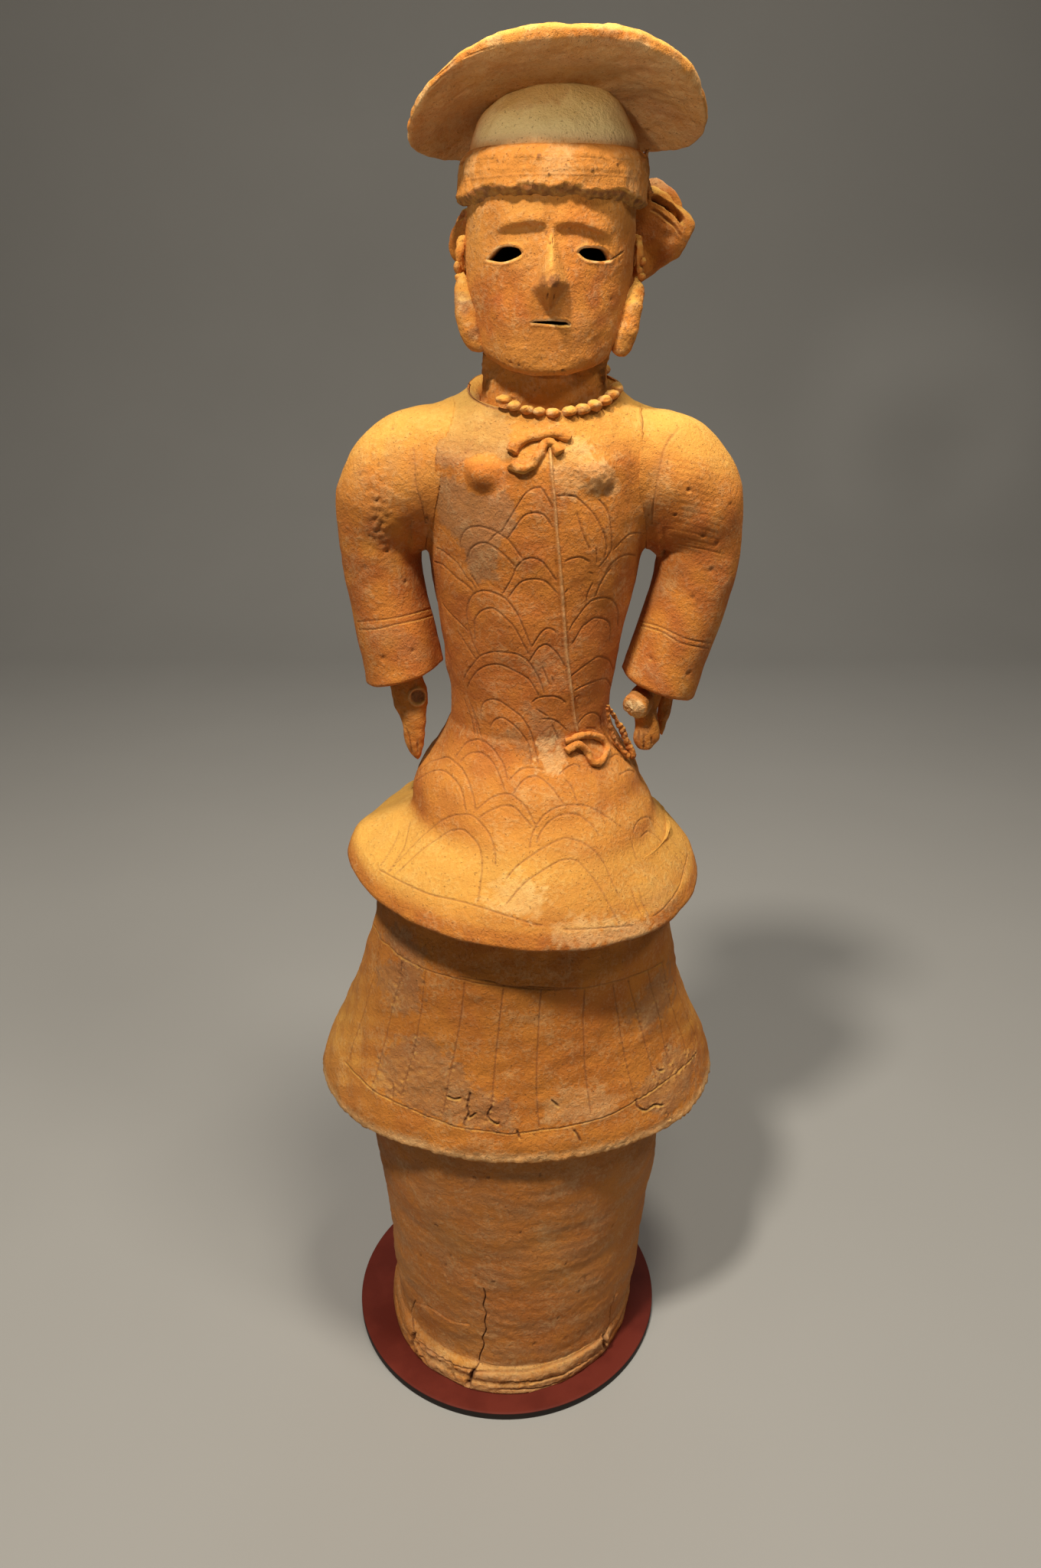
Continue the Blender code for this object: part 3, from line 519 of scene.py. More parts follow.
def bar(name, left, right, depth, thick, rows=80, columns=40, ends=(0.1, 0.1)):
    """A flat bit of clay from top to bottom between a left and a right edge of pixels."""
    a, b = in_space(left, depth, rows), in_space(right, depth, rows)
    middle, half = (a + b) / 2.0, (b - a) / 2.0
    view = middle - EYE
    view /= np.linalg.norm(view, axis=1)[:, None]
    t = np.linspace(0.0, 1.0, rows)
    deep = spread_out(thick, rows)
    deep *= np.sqrt(np.clip(1.0 - held(1.0 - t / ends[0]) ** 2, 0.02, 1)
                    * np.clip(1.0 - held(1.0 - (1.0 - t) / ends[1]) ** 2, 0.02, 1))
    turn = np.linspace(0.0, 2.0 * math.pi, columns, endpoint=False)[None, :, None]
    ring = middle[:, None] + half[:, None] * np.cos(turn) - (deep[:, None] * view)[:, None] * np.sin(turn)
    return skin(name, ring, loop=False)


def ball(centre, size, way, rows=18, columns=30):
    """A round bit of clay with its half sizes along the way, to the back and up."""
    lat = np.linspace(-math.pi / 2, math.pi / 2, rows + 2)[1:-1, None]
    lon = np.linspace(0.0, 2.0 * math.pi, columns, endpoint=False)[None, :]
    unit = np.stack([np.cos(lat) * np.cos(lon), np.cos(lat) * np.sin(lon), np.sin(lat) + 0.0 * lon], -1)
    way = np.asarray(way, float) / np.linalg.norm(way)
    back = np.cross([0.0, 0.0, 1.0], way)
    back /= np.linalg.norm(back)
    turned = (unit * np.asarray(size)) @ np.stack([way, back, np.cross(way, back)])
    return skin("ball", np.asarray(centre) + turned, loop=False)


def merged(name, parts):
    """Several meshes as one."""
    points, faces, start = [], [], 0
    for data in parts:
        points.append(places(data))
        faces += [tuple(i + start for i in p.vertices) for p in data.polygons]
        start += len(data.vertices)
        bpy.data.meshes.remove(data)
    return mesh_of(name, np.vstack(points), faces)


def weathered(data, slow, fine, seed, size=0.010):
    """Pushes the clay in and out a little, by slow and by fine waves."""
    co, normal = surface(data)
    push(data, co, normal, slow * waves(co, size, seed) + fine * waves(co, size * 0.35, seed + 1))
    return surface(data)


print("clay bits ready")

# %% [markdown]
# The clay was fired orange and has weathered. Iron makes it redder in places, smoke left grey and
# mauve clouds, and worn skin shows paler, sandier clay. The material mixes those colours by noise
# of several sizes, and by marks that the pieces carry where the photograph shows a cloud or a scar.
# Some marks also carry painted light and shade: yellower tops, a bright crown and ridge, lit undersides, a shaded
# waist and dark hollows.

# %% Shader maths with plain operators
class Wire:
    """A socket that can be added, taken away, multiplied and mixed like a number."""

    def __init__(self, tree, socket):
        self.tree, self.socket = tree, socket

    def math(self, operation, *others):
        node = self.tree.nodes.new("ShaderNodeMath")
        node.operation = operation
        for slot, value in zip(node.inputs, (self,) + others):
            if isinstance(value, Wire):
                self.tree.links.new(value.socket, slot)
            else:
                slot.default_value = value
        return Wire(self.tree, node.outputs[0])

    def __add__(self, other):
        return self.math("ADD", other)

    def __sub__(self, other):
        return self.math("SUBTRACT", other)

    def __mul__(self, other):
        return self.math("MULTIPLY", other)

    def __rsub__(self, other):
        return self * -1.0 + other

    __radd__ = __add__

    def clamp(self):
        return self.math("MAXIMUM", 0.0).math("MINIMUM", 1.0)

    def over(self, low, high):
        """0 below low, 1 above high, and a smooth step between."""
        node = self.tree.nodes.new("ShaderNodeMapRange")
        node.interpolation_type = "SMOOTHSTEP"
        self.tree.links.new(self.socket, node.inputs["Value"])
        node.inputs["From Min"].default_value = low
        node.inputs["From Max"].default_value = high
        return Wire(self.tree, node.outputs["Result"])


class Paint:
    """One material's nodes, made by type, then settings, then inputs."""

    def __init__(self, name, roughness):
        self.material = bpy.data.materials.new(name)
        self.material.use_nodes = True
        self.tree = self.material.node_tree
        self.shader = self.tree.nodes["Principled BSDF"]
        self.shader.inputs["Roughness"].default_value = roughness
        self.place = self.node("ShaderNodeTexCoord", {}, {}, "Object")

    def node(self, kind, settings, inputs, output=0):
        node = self.tree.nodes.new(kind)
        for key, value in settings.items():
            setattr(node, key, value)
        for key, value in inputs.items():
            if isinstance(value, Wire):
                self.tree.links.new(value.socket, node.inputs[key])
            else:
                node.inputs[key].default_value = value
        return Wire(self.tree, node.outputs[output])

    def noise(self, size, detail=4.0, rough=0.55, shift=0.0):
        """Noise of the given grain in metres, about 0.5 on average."""
        place = self.node("ShaderNodeVectorMath", {"operation": "ADD"}, {0: self.place, 1: (shift,) * 3})
        return self.node("ShaderNodeTexNoise", {}, {"Vector": place, "Scale": 1.0 / size, "Detail": detail,
                                                    "Roughness": rough})

    def mark(self, name):
        return self.node("ShaderNodeAttribute", {"attribute_name": name}, {}, "Fac")

    def mix(self, amount, first, second):
        return self.node("ShaderNodeMix", {"data_type": "RGBA"}, {0: amount, 6: first, 7: second}, 2)

    def bump(self, height, distance, strength=1.0, under=None):
        inputs = {"Height": height, "Distance": distance, "Strength": strength}
        if under is not None:
            inputs["Normal"] = under
        return self.node("ShaderNodeBump", {}, inputs)

    def join(self, slot, wire):
        self.tree.links.new(wire.socket, self.shader.inputs[slot])


print("shader helpers ready")

# %% [markdown]
# Colour first: three clays by noise, then the marks over them, painted light and shade among them, then painted shade
# in the scratched lines. The relief of the skin is only bump: sand grains, brush strokes and small pits.

# %% Fired clay
def fired_clay():
    paint = Paint("fired clay", 0.88)
    broad, middle = paint.noise(0.09, 3.0), paint.noise(0.022, 5.0, 0.6, 3.1)
    fine, grain = paint.noise(0.0035, 4.0, 0.65, 7.7), paint.noise(0.0011, 3.0, 0.7, 1.3)
    redness = (broad * 0.55 + middle * 0.45).over(0.42, 0.60)
    colour = paint.mix(redness * 0.55, (0.60, 0.212, 0.032, 1.0), (0.46, 0.125, 0.018, 1.0))
    pale = (middle * 0.6 + fine * 0.4).over(0.50, 0.66)
    colour = paint.mix(pale * 0.24, colour, (0.78, 0.36, 0.075, 1.0))
    colour = paint.mix((paint.mark("ochre") + (fine - 0.5) * 0.6).clamp() * 0.75, colour, (0.62, 0.27, 0.055, 1.0))
    colour = paint.mix((paint.mark("red") + (fine - 0.5) * 0.4).clamp() * 0.7, colour, (0.40, 0.100, 0.022, 1.0))
    grey = (paint.mark("grey") * 0.9 + (fine + middle - 1.0) * 0.5).clamp()
    colour = paint.mix(grey * 0.85, colour, (0.35, 0.175, 0.080, 1.0))
    cream = (paint.mark("cream") * 0.85 + (fine + middle - 1.0) * 0.8).clamp()
    colour = paint.mix(cream * 0.85, colour, (0.86, 0.60, 0.30, 1.0))
    # Cream marks over 1 paint the brightest colour: a painted highlight on the crown.
    colour = paint.mix((paint.mark("cream") - 1.0 + (fine - 0.5) * 0.3).clamp(), colour, (1.0, 0.77, 0.36, 1.0))
    # Upward faces are painted yellower: dust, and painted top light.
    colour = paint.mix(paint.mark("dust") * (0.35 + fine * 0.5), colour, (0.72, 0.44, 0.090, 1.0))
    dots = paint.noise(0.0022, 2.0, 0.5, 5.1)
    colour = paint.mix(dots.over(0.64, 0.74) * 0.40, colour, (0.22, 0.085, 0.030, 1.0))
    colour = paint.mix(grain.over(0.60, 0.72) * 0.30, colour, (0.28, 0.10, 0.035, 1.0))
    colour = paint.mix((1.0 - grain.over(0.30, 0.42)) * 0.22, colour, (0.86, 0.52, 0.20, 1.0))
    # Dark marks: painted shade in cracks, gaps, slots, pits and inside the head, and dark spots of the clay itself.
    colour = paint.mix(paint.mark("dark"), colour, (0.16, 0.065, 0.03, 1.0))
    # Painted shade in the scratched lines.
    colour = paint.mix(paint.mark("line") * 0.5, colour, (0.22, 0.085, 0.035, 1.0))
    paint.join("Base Color", colour)
    rough = paint.bump(middle, 0.0020, 0.6)
    rough = paint.bump(fine, 0.0016, 0.9, rough)
    rough = paint.bump(dots.over(0.66, 0.72), -0.0008, 0.8, rough)
    rough = paint.bump(grain, 0.0006, 0.8, rough)
    paint.join("Normal", rough)
    paint.shader.inputs["Specular IOR Level"].default_value = 0.25
    return paint.material


def red_board():
    paint = Paint("red board", 0.62)
    cloud, fibre = paint.noise(0.05, 4.0), paint.noise(0.0012, 3.0, 0.6, 2.2)
    colour = paint.mix(cloud.over(0.40, 0.62), (0.100, 0.012, 0.006, 1.0), (0.125, 0.017, 0.009, 1.0))
    colour = paint.mix(paint.mark("dark"), colour, (0.018, 0.012, 0.010, 1.0))
    paint.join("Base Color", colour)
    paint.join("Normal", paint.bump(fibre, 0.0003, 0.5))
    paint.shader.inputs["Specular IOR Level"].default_value = 0.2
    return paint.material


materials = {"fired_clay": fired_clay(), "red_board": red_board()}
print("materials", sorted(materials))

# %% [markdown]
# The figure stands on a drum, a plain clay tube that carries the whole body. A coil of clay was
# pressed round its foot, and has since cracked and come away in layers. A closed profile, up the
# outside and down the inside, is swept round it, so the wall has its true thickness.

# %% The drum
ROLL = [(0.0, 0.96), (0.0015, 1.0), (0.008, 1.0), (0.0105, 0.96), (0.0118, 0.78), (0.0135, 0.80), (0.019, 0.84),
        (0.0235, 0.74), (0.0262, 0.55), (0.0276, 0.28), (0.0285, 0.0), (0.0300, 0.0)]
COIL_PROUD = 0.0108
turn = around(280)
heights = np.concatenate([np.linspace(0.0, 0.032, 22), np.linspace(0.0342, 0.445, 150)])
outside = oval(np.column_stack([heights, smooth(BASE, heights)]), turn)
coil = smooth(ROLL, heights) * COIL_PROUD * (heights < ROLL[-1][0])[:, None]
level = 1.0 + 0.10 * np.sin(3.0 * turn + 1.0) + 0.08 * np.sin(7.0 * turn) + 0.05 * np.sin(17.0 * turn + 2.0)
level = np.clip(level, 0.0, 1.08) * (1.0 - 0.50 * np.cos(turn) ** 2)
outside = grown(outside, coil * level[None, :])
inner_heights = np.linspace(0.0, 0.445, 24)
inside = grown(oval(np.column_stack([inner_heights, smooth(BASE, inner_heights)]), turn), -WALL)[::-1]
drum = skin("drum", leaning(np.concatenate([outside, inside])))

DRUM_CRACKS = [[(543, 1698), (539, 1713), (540, 1734), (541, 1744), (538, 1761)],
               [(632, 1682), (634, 1694), (631, 1706), (635, 1716), (633, 1727), (635, 1738), (630, 1748),
                (632, 1758), (627, 1770), (625, 1782), (618, 1790)],
               [(803, 1692), (797, 1713), (796, 1725), (791, 1742), (790, 1752), (791, 1764)]]
DRUM_GAPS = [[(620, 1788), (614, 1800), (611, 1810), (608, 1822)], [(541, 1742), (538, 1752), (538, 1764)],
             [(790, 1742), (789, 1754), (790, 1766)]]
DRUM_LEDGES = [[(619, 1792), (660, 1791), (689, 1790), (716, 1783), (745, 1773), (769, 1759), (788, 1744)],
               [(542, 1747), (560, 1764), (582, 1777), (601, 1787), (616, 1789)],
               [(655, 1806), (696, 1805), (733, 1795), (762, 1780), (781, 1768)],
               [(655, 1817), (696, 1816), (728, 1806), (757, 1793), (774, 1780)],
               [(545, 1766), (565, 1790), (584, 1802), (608, 1817)]]
DRUM_SCORES = [[(543, 1701), (565, 1710), (589, 1725), (613, 1730)]]
BROKEN = [(543, 1742), (560, 1755), (580, 1768), (614, 1786), (608, 1824), (560, 1800), (536, 1775)]
PITS = [(739, 1650), (756, 1686), (782, 1720), (729, 1722), (764, 1670), (698, 1756), (549, 1639), (587, 1641),
        (581, 1653), (622, 1668), (645, 1674), (619, 1539), (638, 1539), (706, 1535), (570, 1600), (680, 1610),
        (800, 1600)]
paths = scratched(drum, DRUM_CRACKS + DRUM_LEDGES + DRUM_SCORES + DRUM_GAPS)
cracks, ledges, scores, gaps = paths[:3], paths[3:8], paths[8:9], paths[9:]
pits = spots(drum, PITS)
co, normal = surface(drum)
relief = 0.0007 * waves(co, 0.07, 1) + 0.0002 * waves(co * [1, 1, 3], 0.04, 2) + 0.0002 * waves(co, 0.009, 3)
foot = (1.0 - ramp(co[:, 2], 0.030, 0.046)) * ramp(co[:, 2], 0.012, 0.016)
relief += foot * (0.0004 * waves(co, 0.02, 4) + 0.0002 * waves(co, 0.006, 5))
crack, dark = engrave(co, cracks, 0.0008, 0.0034, 0.10)
gap, deep = engrave(co, gaps, 0.0030, 0.0085, 0.25)
ledge, line = engrave(co, ledges, 0.0016, 0.0020, 0.3)
score, faint = engrave(co, scores, 0.0012, 0.0010)
broken = patch(co, normal, BROKEN, 2.0, 1.5, 17)
relief += crack + gap + ledge + score - broken * (0.0012 + 0.0009 * waves(co, 0.010, 18) * foot)
relief += step_below(co, normal, DRUM_SCORES[0], 0.0012, (10.0, 26.0))
x = seen(co)[:, 0]
for seed, beyond in ((5, ramp(541 - x, 0.0, 5.0)), (7, ramp(x - 798, 0.0, 5.0))):
    top = 0.088 + 0.004 * waves(co, 0.03, seed) - 0.010 * (1.0 - held(-co[:, 1] / 0.14))
    layer = beyond * ramp(co[:, 1], 0.03, -0.02) * (1.0 - ramp(co[:, 2], top - 0.003, top))
    relief += 0.0015 * layer * ramp(co[:, 2], 0.036, 0.040)
hole, pit_shade = pitted(co, pits, three_sizes(len(pits), 0.0022, 0.0004), 0.0016, 0.0020, 0.3, 0.7)
relief = np.where(co[:, 2] < FOOT + 0.0008, 0.0, relief + hole)
push(drum, co, normal, relief)
ochre = 0.10 + 0.3 * waves(co, 0.10, 7)
front = ramp(-co[:, 1], 0.07, 0.13)
pale = 0.26 * (1.0 - ramp(co[:, 2], 0.030, 0.050)) * front + 0.08 * ramp(waves(co, 0.05, 8), 0.8, 2.0)
under = ramp(co[:, 2], 0.32, 0.36)
# Dust and painted top light on the front's upward faces; the dark is painted shade in the cracks, gaps and pits.
finished(drum, line=np.maximum(line * 0.8, faint * 0.5), dark=np.maximum(np.maximum(dark, deep), pit_shade),
         ochre=ochre * (1.0 - under), dust=0.35 * facing_up(normal) * front, cream=pale * (1.0 - under),
         red=0.22 + 0.2 * ramp(waves(co, 0.05, 10), 0.0, 1.5),
         grey=0.28 + 0.35 * ramp(waves(co * [1, 1, 2.5], 0.06, 9), -0.5, 1.5))

# %% [markdown]
# The skirt is a bell of clay set over the drum. Its hem stands free, with a hollow under it that
# rises towards the drum, and its top goes up inside the jacket.

# %% The skirt
def lip_rings(edge, thickness, drop, count=7):
    """A rounded lip from the inner side of a hem to its outer side: half a turn of a flat ellipse."""
    t = np.linspace(math.pi, 0.0, count)[1:-1]
    rings = grown(np.repeat(edge[None], len(t), 0), -thickness / 2.0 * (1.0 - np.cos(t))[:, None])
    rings[..., 2] -= (drop * np.sin(t))[:, None]
    return rings


def under_hem(edge, body, height, slope, count=8):
    """The hollow under a hem, from the body out to the hem's inner edge, steeper where it is wider."""
    on_body = oval(np.array([[height, *smooth(body, height)[0]]]), turn)[0]
    width = np.linalg.norm(edge[:, :2], axis=1) - np.linalg.norm(on_body[:, :2], axis=1)
    on_body = grown(on_body[None], -0.003)[0]
    on_body[:, 2] = edge[:, 2] + slope * np.maximum(width, 0.002)
    t = np.linspace(0.0, 1.0, count)[:, None, None]
    return on_body[None] * (1.0 - t) + edge[None] * t


turn = around(310)
skirt_outside = oval(flow(SKIRT, 122), turn)
skirt_edge = skirt_outside[0]
inner_heights = np.linspace(0.610, 0.452, 12)
tube = [(0.45, 0.148, 0.139, 0.137), (0.56, 0.144, 0.136, 0.132), (0.61, 0.139, 0.132, 0.128)]
skirt_inside = grown(oval(np.column_stack([inner_heights, smooth(tube, inner_heights)]), turn), -WALL - 0.0015)
hidden = grown(skirt_inside[-1:], 0.008)
below = under_hem(grown(skirt_edge[None], -0.012)[0], BASE, 0.36, 2.6)
skirt = skin("skirt", leaning(np.concatenate([skirt_outside, skirt_inside, hidden, below,
                                              lip_rings(skirt_edge, 0.012, 0.003)])))

# %% [markdown]
# Thin scratched lines run down the skirt as its pleats, between two level lines. Later cracks and
# chips near the hem were partly filled, and clouds of grey smoke cover the fills.

# %% Pleats, cracks and clouds of the skirt
PLEATS = [[(488, 1203), (498, 1225), (511, 1237), (522, 1247), (539, 1258), (557, 1266), (575, 1272), (598, 1278),
           (628, 1284), (660, 1288), (706, 1292), (735, 1292)],
          [(598, 1275), (640, 1281), (660, 1287), (706, 1289), (763, 1290), (800, 1283), (821, 1278), (846, 1268),
           (867, 1256)],
          [(448, 1326), (439, 1348)], [(498, 1232), (486, 1283), (472, 1329), (454, 1387)],
          [(527, 1253), (516, 1304), (502, 1364), (487, 1419)],
          [(557, 1267), (548, 1331), (539, 1377), (525, 1430)],
          [(607, 1283), (601, 1336), (591, 1387), (583, 1430), (578, 1455)],
          [(658, 1290), (652, 1341), (646, 1398), (643, 1439), (642, 1453)],
          [(707, 1290), (704, 1345), (701, 1400), (702, 1444), (705, 1475)],
          [(763, 1291), (763, 1345), (764, 1387), (768, 1423), (772, 1455)],
          [(801, 1284), (807, 1322), (814, 1368), (825, 1416), (831, 1435)],
          [(822, 1279), (830, 1313), (841, 1359), (857, 1403), (862, 1419)],
          [(847, 1268), (857, 1315), (871, 1371), (884, 1400)],
          [(865, 1256), (873, 1302), (890, 1354), (901, 1384)],
          [(878, 1279), (892, 1318), (906, 1350), (910, 1364)], [(513, 1416), (513, 1444)],
          [(871, 1453), (875, 1461)],
          [(449, 1387), (467, 1406), (486, 1421), (502, 1432), (525, 1444), (552, 1457), (580, 1467), (605, 1473),
           (630, 1476), (660, 1481), (683, 1480), (706, 1477), (736, 1473), (763, 1466), (789, 1459), (816, 1447),
           (839, 1434), (862, 1419), (885, 1402), (903, 1384), (911, 1373)]]
SKIRT_CRACKS = [[(583, 1432), (594, 1436), (602, 1435)],
                [(615, 1426), (610, 1446), (612, 1455), (607, 1465), (606, 1472)],
                [(612, 1461), (623, 1453)], [(643, 1444), (637, 1458), (649, 1468), (653, 1466)],
                [(749, 1476), (755, 1483), (759, 1492)], [(860, 1396), (863, 1399), (869, 1398)],
                [(833, 1435), (834, 1446), (846, 1451), (855, 1444), (868, 1444)], [(720, 1437), (731, 1447)],
                [(675, 1476), (679, 1488)]]
SKIRT_CLOUDS = [[(488, 1267), (525, 1251), (557, 1267), (545, 1322), (513, 1322), (509, 1309), (493, 1283)],
                [(498, 1218), (529, 1210), (557, 1240), (555, 1265), (520, 1246)],
                [(511, 1361), (539, 1354), (557, 1348), (584, 1377), (607, 1398), (623, 1423), (651, 1432),
                 (670, 1442), (670, 1476), (617, 1476), (578, 1465), (534, 1444), (488, 1419), (495, 1387)],
                [(830, 1313), (851, 1286), (873, 1253), (878, 1290), (876, 1318), (857, 1338), (839, 1350),
                 (834, 1336), (816, 1331), (818, 1322)],
                [(873, 1366), (910, 1373), (915, 1400), (899, 1435), (873, 1458), (839, 1451), (832, 1435),
                 (834, 1421), (864, 1393)]]
SKIRT_PALE = [(713, 1437), (745, 1419), (789, 1421), (816, 1435), (807, 1455), (761, 1467), (708, 1467)]
paths = scratched(skirt, PLEATS + SKIRT_CRACKS)
pleats, cracks = paths[:-len(SKIRT_CRACKS)], paths[-len(SKIRT_CRACKS):]
co, normal = surface(skirt)
cut, line = engrave(co, pleats, 0.0010, 0.0009)
deep, dark = engrave(co, cracks, 0.0014, 0.0022, 0.3)
relief = cut + deep + 0.0007 * waves(co, 0.08, 71) + 0.0004 * waves(co, 0.026, 72) + 0.00012 * waves(co, 0.009, 73)
grey = patches(co, normal, SKIRT_CLOUDS, 3.0, 3.5, 80)
pale = 0.32 * patch(co, normal, SKIRT_PALE, 4.0, 3.0, 90)
rim = 1.0 - ramp(co[:, 2], 0.346, 0.356)
relief += (0.6 * grey + rim) * (0.0004 * waves(co, 0.006, 74) + 0.0002 * waves(co, 0.003, 75))
push(skirt, co, normal, relief)
finished(skirt, line=line, dark=dark * 0.8, grey=grey * 0.7, ochre=0.7 * ramp(-co[:, 0], 0.09, 0.17),
         cream=np.maximum(pale, 0.55 * rim * ramp(normal[:, 2], -0.6, -0.1)),
         red=0.4 * ramp(waves(co, 0.06, 76), 0.3, 1.6))

# %% [markdown]
# The sleeves are clay tubes that were stuck to the shoulders and smoothed over. Their smooth joint
# is the level surface of a soft minimum of two distances: to the oval body, and to the sleeve.
# Both meshes are pulled onto that same surface, so they meet without a step.

# %% Distances to the body and to the sleeves
SLEEVE = {-1: [(0.030, 0.958, 0.0410), (0.077, 0.957, 0.0470), (0.1085, 0.946, 0.0522), (0.1300, 0.920, 0.0465),
               (0.1372, 0.888, 0.0355), (0.1305, 0.840, 0.0340)],
          1: [(0.030, 0.958, 0.0410), (0.077, 0.955, 0.0465), (0.108, 0.945, 0.0517), (0.1330, 0.918, 0.0472),
              (0.1435, 0.885, 0.0360), (0.1378, 0.840, 0.0362)]}
CUFFS = {-1: (-0.1175, 0.7730, 0.0350, math.radians(14.0)), 1: (0.1180, 0.7620, 0.0357, math.radians(21.0))}
SLEEVE_WALL = 0.009
SLEEVE_Y = -0.004
JOINT = 0.014


def sleeve_path(side, count):
    """Points and radii at even steps down the middle of a sleeve, from inside the shoulder to the cuff."""
    x, height, radius, slant = CUFFS[side]
    rows = [(side * a, SLEEVE_Y * i / 5.0, h, r) for i, (a, h, r) in enumerate(SLEEVE[side])]
    rows.append(((rows[-1][0] + x) / 2.0, SLEEVE_Y * 1.5, (rows[-1][2] + height) / 2.0, radius))
    rows.append((x, SLEEVE_Y * 2.0, height, radius))
    return flow(rows, count)


def sleeve_depth(points, side):
    """Distance to a chain of cones: to each step of the middle line, less the radius there."""
    path = sleeve_path(side, 26)
    a, step = path[:-1, :3], np.diff(path[:, :3], axis=0)
    t = held(((points[:, None, :] - a) * step).sum(-1) / (step ** 2).sum(-1))
    gap = np.linalg.norm(points[:, None, :] - a - t[..., None] * step, axis=-1)
    return (gap - path[:-1, 3] - t * np.diff(path[:, 3])).min(axis=1)


def collar_weight(h):
    """The collar's tilt, from none below the shoulders to all of it at the neck."""
    return held((h - 0.950) / 0.067)


def body_depth(points):
    """Distance to the oval wall, to first order: (k - 1) / |gradient of k|, k = |(x / a, (y - m) / b)|."""
    x, y = points[:, 0], points[:, 1]
    h = points[:, 2] - collar_weight(points[:, 2]) * COLLAR_TILT * y
    k = []
    for height in (h, h + 0.0005):
        a, front, back = smooth(TORSO, height).T
        k.append(np.sqrt((x / a) ** 2 + ((y - (back - front) / 2.0) / ((back + front) / 2.0)) ** 2) + 1e-9)
    a, front, back = smooth(TORSO, h).T
    m, b = (back - front) / 2.0, (back + front) / 2.0
    slope = np.sqrt((x / a ** 2 / k[0]) ** 2 + ((y - m) / b ** 2 / k[0]) ** 2 + ((k[1] - k[0]) / 0.0005) ** 2)
    return (k[0] - 1.0) / slope


def soft_union(a, b, size):
    """The smaller of two distances with a rounded change: mix(b, a, h) - size * h * (1 - h)."""
    h = held(0.5 + 0.5 * (b - a) / size)
    return b * (1.0 - h) + a * h - size * h * (1.0 - h)


def arms(points):
    return np.minimum(sleeve_depth(points, -1), sleeve_depth(points, 1))


def clothed(points):
    return soft_union(body_depth(points), arms(points), JOINT)


def pulled(points, other):
    """Newton steps onto the joint surface for points near the other piece: p - F * grad F / |grad F| ** 2."""
    flat = points.reshape(-1, 3).copy()
    gap = other(flat)
    near = (gap < JOINT * 1.3) & (gap > -0.004)
    p = flat[near]
    for _ in range(4):
        f = clothed(p)
        slope = np.stack([clothed(p + 0.0004 * axis) - f for axis in np.eye(3)], -1) / 0.0004
        p = p - np.clip(f / (slope ** 2).sum(-1).clip(0.2), -0.004, 0.004)[:, None] * slope
    flat[near] = p
    return flat.reshape(points.shape)


print("way down the left sleeve", sleeve_path(-1, 5).round(3).tolist())

# %% [markdown]
# The jacket is the middle of the body: a waist, a chest, sloping shoulders, and a short flared
# skirt of its own that stands away from the skirt below. One profile makes all of it.

# %% The jacket
def tilted(grid, weight, across, deep):
    moved = grid.copy()
    moved[..., 2] += weight * (across * grid[..., 0] + deep * grid[..., 1])
    return moved


turn = around(186)
low, high = flow(PEPLUM, 74), flow(TORSO, 128)
low_part = tilted(oval(low, turn), held((0.675 - low[:, :1]) / 0.070) ** 2, *PEPLUM_TILT)
high_part = tilted(oval(high[1:], turn), collar_weight(high[1:, :1]), 0.0, COLLAR_TILT)
high_part = pulled(high_part, arms)
ledge_rows = np.array([(1.0180, 0.0650, 0.0595, 0.0570), (1.0176, 0.0625, 0.0575, 0.0555),
                       (1.0150, 0.0580, 0.0550, 0.0530), (1.0110, 0.0530, 0.0525, 0.0510),
                       (0.990, 0.0470, 0.0460, 0.0450)])
ledge = tilted(oval(ledge_rows, turn), 1.0, 0.0, COLLAR_TILT)
tube = [(0.605, 0.139, 0.132, 0.128), (0.645, 0.121, 0.119, 0.115), (0.68, 0.098, 0.097, 0.093),
        (0.71, 0.0800, 0.0795, 0.0755), (0.729, 0.0745, 0.0745, 0.070), (0.79, 0.0800, 0.077, 0.0725),
        (0.86, 0.0905, 0.0815, 0.077), (0.93, 0.101, 0.086, 0.0825), (0.955, 0.102, 0.0855, 0.0815)]
inner_heights = np.linspace(0.955, 0.607, 20)
jacket_inside = grown(oval(np.column_stack([inner_heights, smooth(tube, inner_heights)]), turn), -WALL - 0.001)
hidden = grown(jacket_inside[-1:], 0.012)
edge = low_part[0]
inner_edge = grown(edge[None], -0.011)[0]
below = under_hem(inner_edge, SKIRT, 0.59, 1.5, 6)
jacket = skin("jacket", leaning(np.concatenate([low_part, high_part, ledge, jacket_inside, hidden, below,
                                                lip_rings(edge, 0.011, 0.004, 6)])))
print(len(jacket.vertices), "points before the drawing")

# %% [markdown]
# Before firing, the potter scratched rows of overlapping scales into the soft clay, and pressed up a
# thin ridge where the jacket closes. These are the lines as the camera sees them, in pixels.

